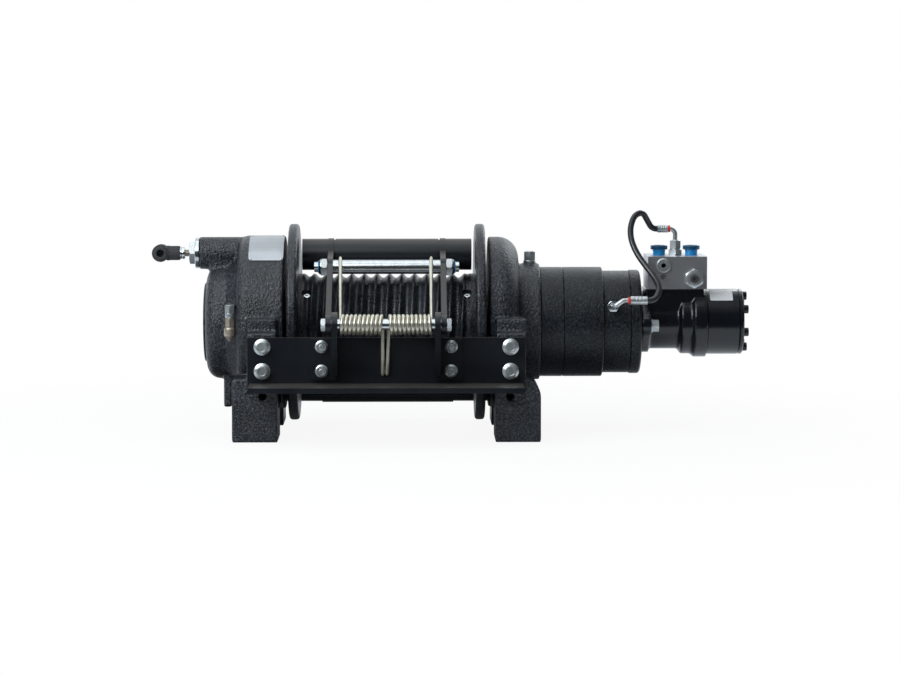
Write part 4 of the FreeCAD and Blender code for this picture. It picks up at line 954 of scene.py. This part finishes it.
class WINCH_OT_valve_block(bpy.types.Operator):
    """Build the plug, the cartridge valve and the port caps of the valve block"""
    bl_idname = "winch.valve_block"
    bl_label = "Valve block fittings"

    PLUG_IN, PLUG_UP = 21.3, 33.0
    VALVE_IN, VALVE_UP = 63.7, 15.0

    def execute(self, context):
        low, high = extent("valve_block")
        rim = turned([(0, 10.0), (2.4, 10.0), (3.5, 8.9), (3.5, 7.6), (0.1, 7.6)], 0.3)
        fit("hex_socket_plug", joined(rim, socket(6.0, 3.4, 3.5, 7.6)), "bolt_zinc", "zinc",
            "block_plug", at=low + (self.PLUG_IN, 0, self.PLUG_UP), toward=FRONT, spin=0.2)
        valve_at = low + (self.VALVE_IN, 0, self.VALVE_UP)
        valve = joined(hex_solid(24.0, 8.6), turned([(8.0, 9.6), (9.0, 9.6), (9.0, 0.4)], 0.3))
        fit("cartridge_hex", valve, "bolt_zinc", "zinc", "block_cartridge", at=valve_at,
            toward=FRONT)
        knob = turned([(9.0, 5.6), (10.0, 5.6), (14.2, 5.3), (15.0, 4.6), (15.0, 2.4), (13.0, 2.0),
                       (13.0, 0.3)], 0.4)
        fit("adjuster_cap", knob, "black_plastic", "black_plastic", "block_adjuster", at=valve_at,
            toward=FRONT)
        cap = turned([(-10, 8.0), (-9, 8.8), (0, 8.8), (0, 8.5), (5.6, 8.6), (7.6, 9.4),
                      (8.0, 11.6), (8.0, 0.4)], 0.5)
        rim = turned([(7.9, 7.0), (7.9, 12.0), (13.0, 12.0), (13.6, 11.4), (13.6, 9.4), (11.4, 9.0),
                      (11.4, 0.4)], 0.6)
        for name in ("left", "right"):
            place = (middle(f"port_cap_{name}")[0], 0, high[2])
            fit(f"blue_cap_{name}", cap, "cap_blue", "blue_plastic", f"port_cap_{name}", at=place,
                toward=UP)
            fit(f"cap_rim_{name}", rim, "cap_navy", "blue_plastic", at=place, toward=UP)
        return {"FINISHED"}


class WINCH_OT_fittings(bpy.types.Operator):
    """Build the hose's adapter, nut, crimped ferrules and red rings"""
    bl_idname = "winch.fittings"
    bl_label = "Hose fittings"

    TOP_Z, PORT_Z, BOTTOM_Z = 130.0, 27.0, 36.0
    CRIMPS = (0.3, 0.5, 0.7)
    RING_GAP = 3.4

    def execute(self, context):
        place = (middle("hose_adapter")[0], 0, extent("hose_adapter")[0][2])
        stack = joined(hex_solid(17.5, 8.0, both=True),
                       turned([(7.6, 7.0), (9.2, 7.0), (9.2, 0.4)], 0.2),
                       hex_solid(14.4, 11.6, 9.0, both=True),
                       turned([(20.0, 5.6), (21.5, 4.4), (21.5, 0.4)], 0.3))
        fit("adapter_hexes", stack, "bolt_zinc", "zinc", "hose_adapter", at=place, toward=UP)
        nut = joined(hex_solid(14.6, 10.0, both=True),
                     turned([(9.0, 5.4), (10.4, 4.6), (10.4, 0.4)], 0.3))
        place = (middle("brake_port_nut")[0], extent("brake_port_nut")[1][1], self.PORT_Z)
        fit("port_hex", nut, "bright_zinc", "zinc", "brake_port_nut", at=place, toward=FRONT,
            spin=CORNER)
        for name, radius, z in (("top", 5.4, self.TOP_Z), ("bottom", 5.9, self.BOTTOM_Z)):
            node = f"hose_ferrule_{name}"
            low, high = extent(node)
            fit(f"crimped_ferrule_{name}", self.ferrule(high[0] - low[0], radius), "bolt_zinc",
                "zinc", node, at=(low[0], middle(node)[1], z))
        ring = turned([(0, 3.4), (0, 4.8), (3.2, 4.8), (3.2, 3.4)], 0.4, 48)
        fit("red_ring_top", ring, "ring_red", None,
            at=(extent("hose_ferrule_top")[1][0], 0, self.TOP_Z))
        fit("red_ring_bottom", ring, "ring_red", None,
            at=(low[0] - self.RING_GAP, middle(node)[1], self.BOTTOM_Z))
        return {"FINISHED"}

    def ferrule(self, long, radius):
        """Sleeve with three crimps, each a narrow Gaussian dip, and a slope at both ends."""
        x = np.linspace(0, long, 90)
        middles = long * np.array(self.CRIMPS)
        dips = 0.22 * np.exp(-((x[:, None] - middles) / 0.9) ** 2).sum(axis=1)
        slope = radius * 0.9 + np.minimum(x, long - x) * 1.2
        return lathe(np.stack([x, np.minimum(radius - dips, slope)], axis=1), 48)


# Bare plates

class WINCH_OT_plates(bpy.types.Operator):
    """Lay the bare rating plate on the gear housing and the blank label on the motor"""
    bl_idname = "winch.plates"
    bl_label = "Bare plates"

    PLATE_LEFT, PLATE_RIGHT = -190.0, -142.0
    PLATE_LOW, PLATE_HIGH = 48.5, 86.0
    NOSE_RADIUS = 121.0
    RIVET_INSET = 3.0
    RIVET_RISES = (50.0, 84.5)

    def execute(self, context):
        thick = sizes().plate_thick / MM
        plate = self.wrapped(self.PLATE_LEFT, self.PLATE_RIGHT, self.PLATE_LOW, self.PLATE_HIGH,
                             self.NOSE_RADIUS, thick, corner=3.0)
        fit("rating_plate", plate, "plate_aluminium", "block_aluminium")
        dome = turned([(0, 1.7), (0.5, 1.6), (0.9, 0.9), (1.0, 0.1)], 0.3, 24)
        rivets = []
        for x in (self.PLATE_LEFT + self.RIVET_INSET, self.PLATE_RIGHT - self.RIVET_INSET):
            for rise in np.radians(self.RIVET_RISES):
                out = np.array([0.0, -math.cos(rise), math.sin(rise)])
                rivets.append(moved(dome, out * (self.NOSE_RADIUS + thick) + (x, 0, 0), out))
        fit("plate_rivets", joined(*rivets), "bright_zinc", "zinc")
        label = self.wrapped(left=450.0, right=482.0, low=43.5, high=78.0, radius=45.9, thick=0.15,
                             corner=1.0)
        fit("blank_label", label, "pale_label", None)
        return {"FINISHED"}

    def wrapped(self, left, right, low, high, radius, thick, corner):
        """Sheet on a cylinder: x and the angle run over a rectangle with rounded corners."""
        turn = circle(96)
        width, rise = (right - left) / 2, math.radians(high - low) / 2 * radius
        wave = np.stack([np.cos(turn), np.sin(turn)], axis=1)
        edge = np.sign(wave) * np.abs(wave) ** (corner / min(width, rise) * 1.2)
        rings = []
        for share, height in ((0.02, thick), (0.5, thick), (0.97, thick), (1.0, thick * 0.8),
                              (1.0, 0.0), (0.02, 0.0)):
            angle = math.radians((low + high) / 2) + edge[:, 1] * rise * share / radius
            reach = radius + height
            rings.append(np.stack([(left + right) / 2 + edge[:, 0] * width * share,
                                   -reach * np.cos(angle), reach * np.sin(angle)], axis=1))
        return skin(np.array(rings)[::-1])


# Brake hose

HOSE_MIDDLE = 403.5
HOSE_POINTS = [
    (-24.9, 0.0, 130.0), (-32.5, 0.0, 130.0), (-39.0, -4.0, 141.0), (-46.5, -11.0, 154.0),
    (-58.6, -19.0, 150.0), (-64.4, -26.0, 135.5), (-65.1, -33.0, 122.5), (-62.6, -40.0, 110.5),
    (-55.6, -48.0, 95.5), (-45.5, -57.0, 81.5), (-35.2, -67.0, 68.0), (-29.0, -77.0, 56.0),
    (-29.0, -85.0, 46.0), (-36.0, -92.0, 36.0), (-45.5, -92.0, 36.0)]


class WINCH_OT_hose(bpy.types.Operator):
    """Lay the brake hose as one smooth spline between its two ferrules"""
    bl_idname = "winch.hose"
    bl_label = "Brake hose"

    def execute(self, context):
        data = bpy.data.curves.new("brake_hose_line", "CURVE")
        data.dimensions = "3D"
        spline = data.splines.new("NURBS")
        spline.points.add(len(HOSE_POINTS) - 1)
        for point, place in zip(spline.points, HOSE_POINTS):
            point.co = (*world(HOSE_MIDDLE + place[0], *place[1:]), 1.0)
        spline.order_u = 3
        spline.use_endpoint_u = True
        spline.resolution_u = 10
        data.bevel_depth = sizes().hose_diameter / 2
        data.bevel_resolution = 6
        data.use_fill_caps = True
        data.materials.append(bpy.data.materials["hose_cover"])
        hose = bpy.data.objects.new("brake_hose_line", data)
        context.scene.collection.objects.link(hose)
        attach(hose, "frame")
        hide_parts("brake_hose")
        return {"FINISHED"}


# Panel and registration

PIECES = ("stage", "castings", "drum", "springs", "tensioner", "bolts", "clutch", "relief",
          "breather", "valve_block", "fittings", "plates", "hose")


class WINCH_PT_panel(bpy.types.Panel):
    """Buttons for each piece, with the sizes and colours"""
    bl_label = "Hydraulic drum winch"
    bl_idname = "WINCH_PT_panel"
    bl_space_type = "VIEW_3D"
    bl_region_type = "UI"
    bl_category = "Winch"

    def draw(self, context):
        column = self.layout.column()
        for name in ("finishes", *PIECES):
            column.operator(f"winch.{name}")
        for group in (sizes(), colours(), stage_values()):
            box = self.layout.box()
            for prop in group.bl_rna.properties:
                if prop.identifier not in ("rna_type", "name"):
                    box.prop(group, prop.identifier)


CLASSES = (WinchSizes, WinchColours, WinchStage, WINCH_OT_finishes, WINCH_OT_stage,
           WINCH_OT_castings, WINCH_OT_drum, WINCH_OT_springs, WINCH_OT_tensioner, WINCH_OT_bolts,
           WINCH_OT_clutch, WINCH_OT_relief, WINCH_OT_breather, WINCH_OT_valve_block,
           WINCH_OT_fittings, WINCH_OT_plates, WINCH_OT_hose, WINCH_PT_panel)


def register():
    for item in CLASSES:
        bpy.utils.register_class(item)
    bpy.types.Scene.winch_sizes = bpy.props.PointerProperty(type=WinchSizes)
    bpy.types.Scene.winch_colours = bpy.props.PointerProperty(type=WinchColours)
    bpy.types.Scene.winch_stage = bpy.props.PointerProperty(type=WinchStage)


def unregister():
    del bpy.types.Scene.winch_stage
    del bpy.types.Scene.winch_colours
    del bpy.types.Scene.winch_sizes
    for item in reversed(CLASSES):
        bpy.utils.unregister_class(item)


def main():
    register()
    bpy.ops.winch.finishes()
    for name in PIECES:
        getattr(bpy.ops.winch, name)()


if __name__ == "__main__":
    main()
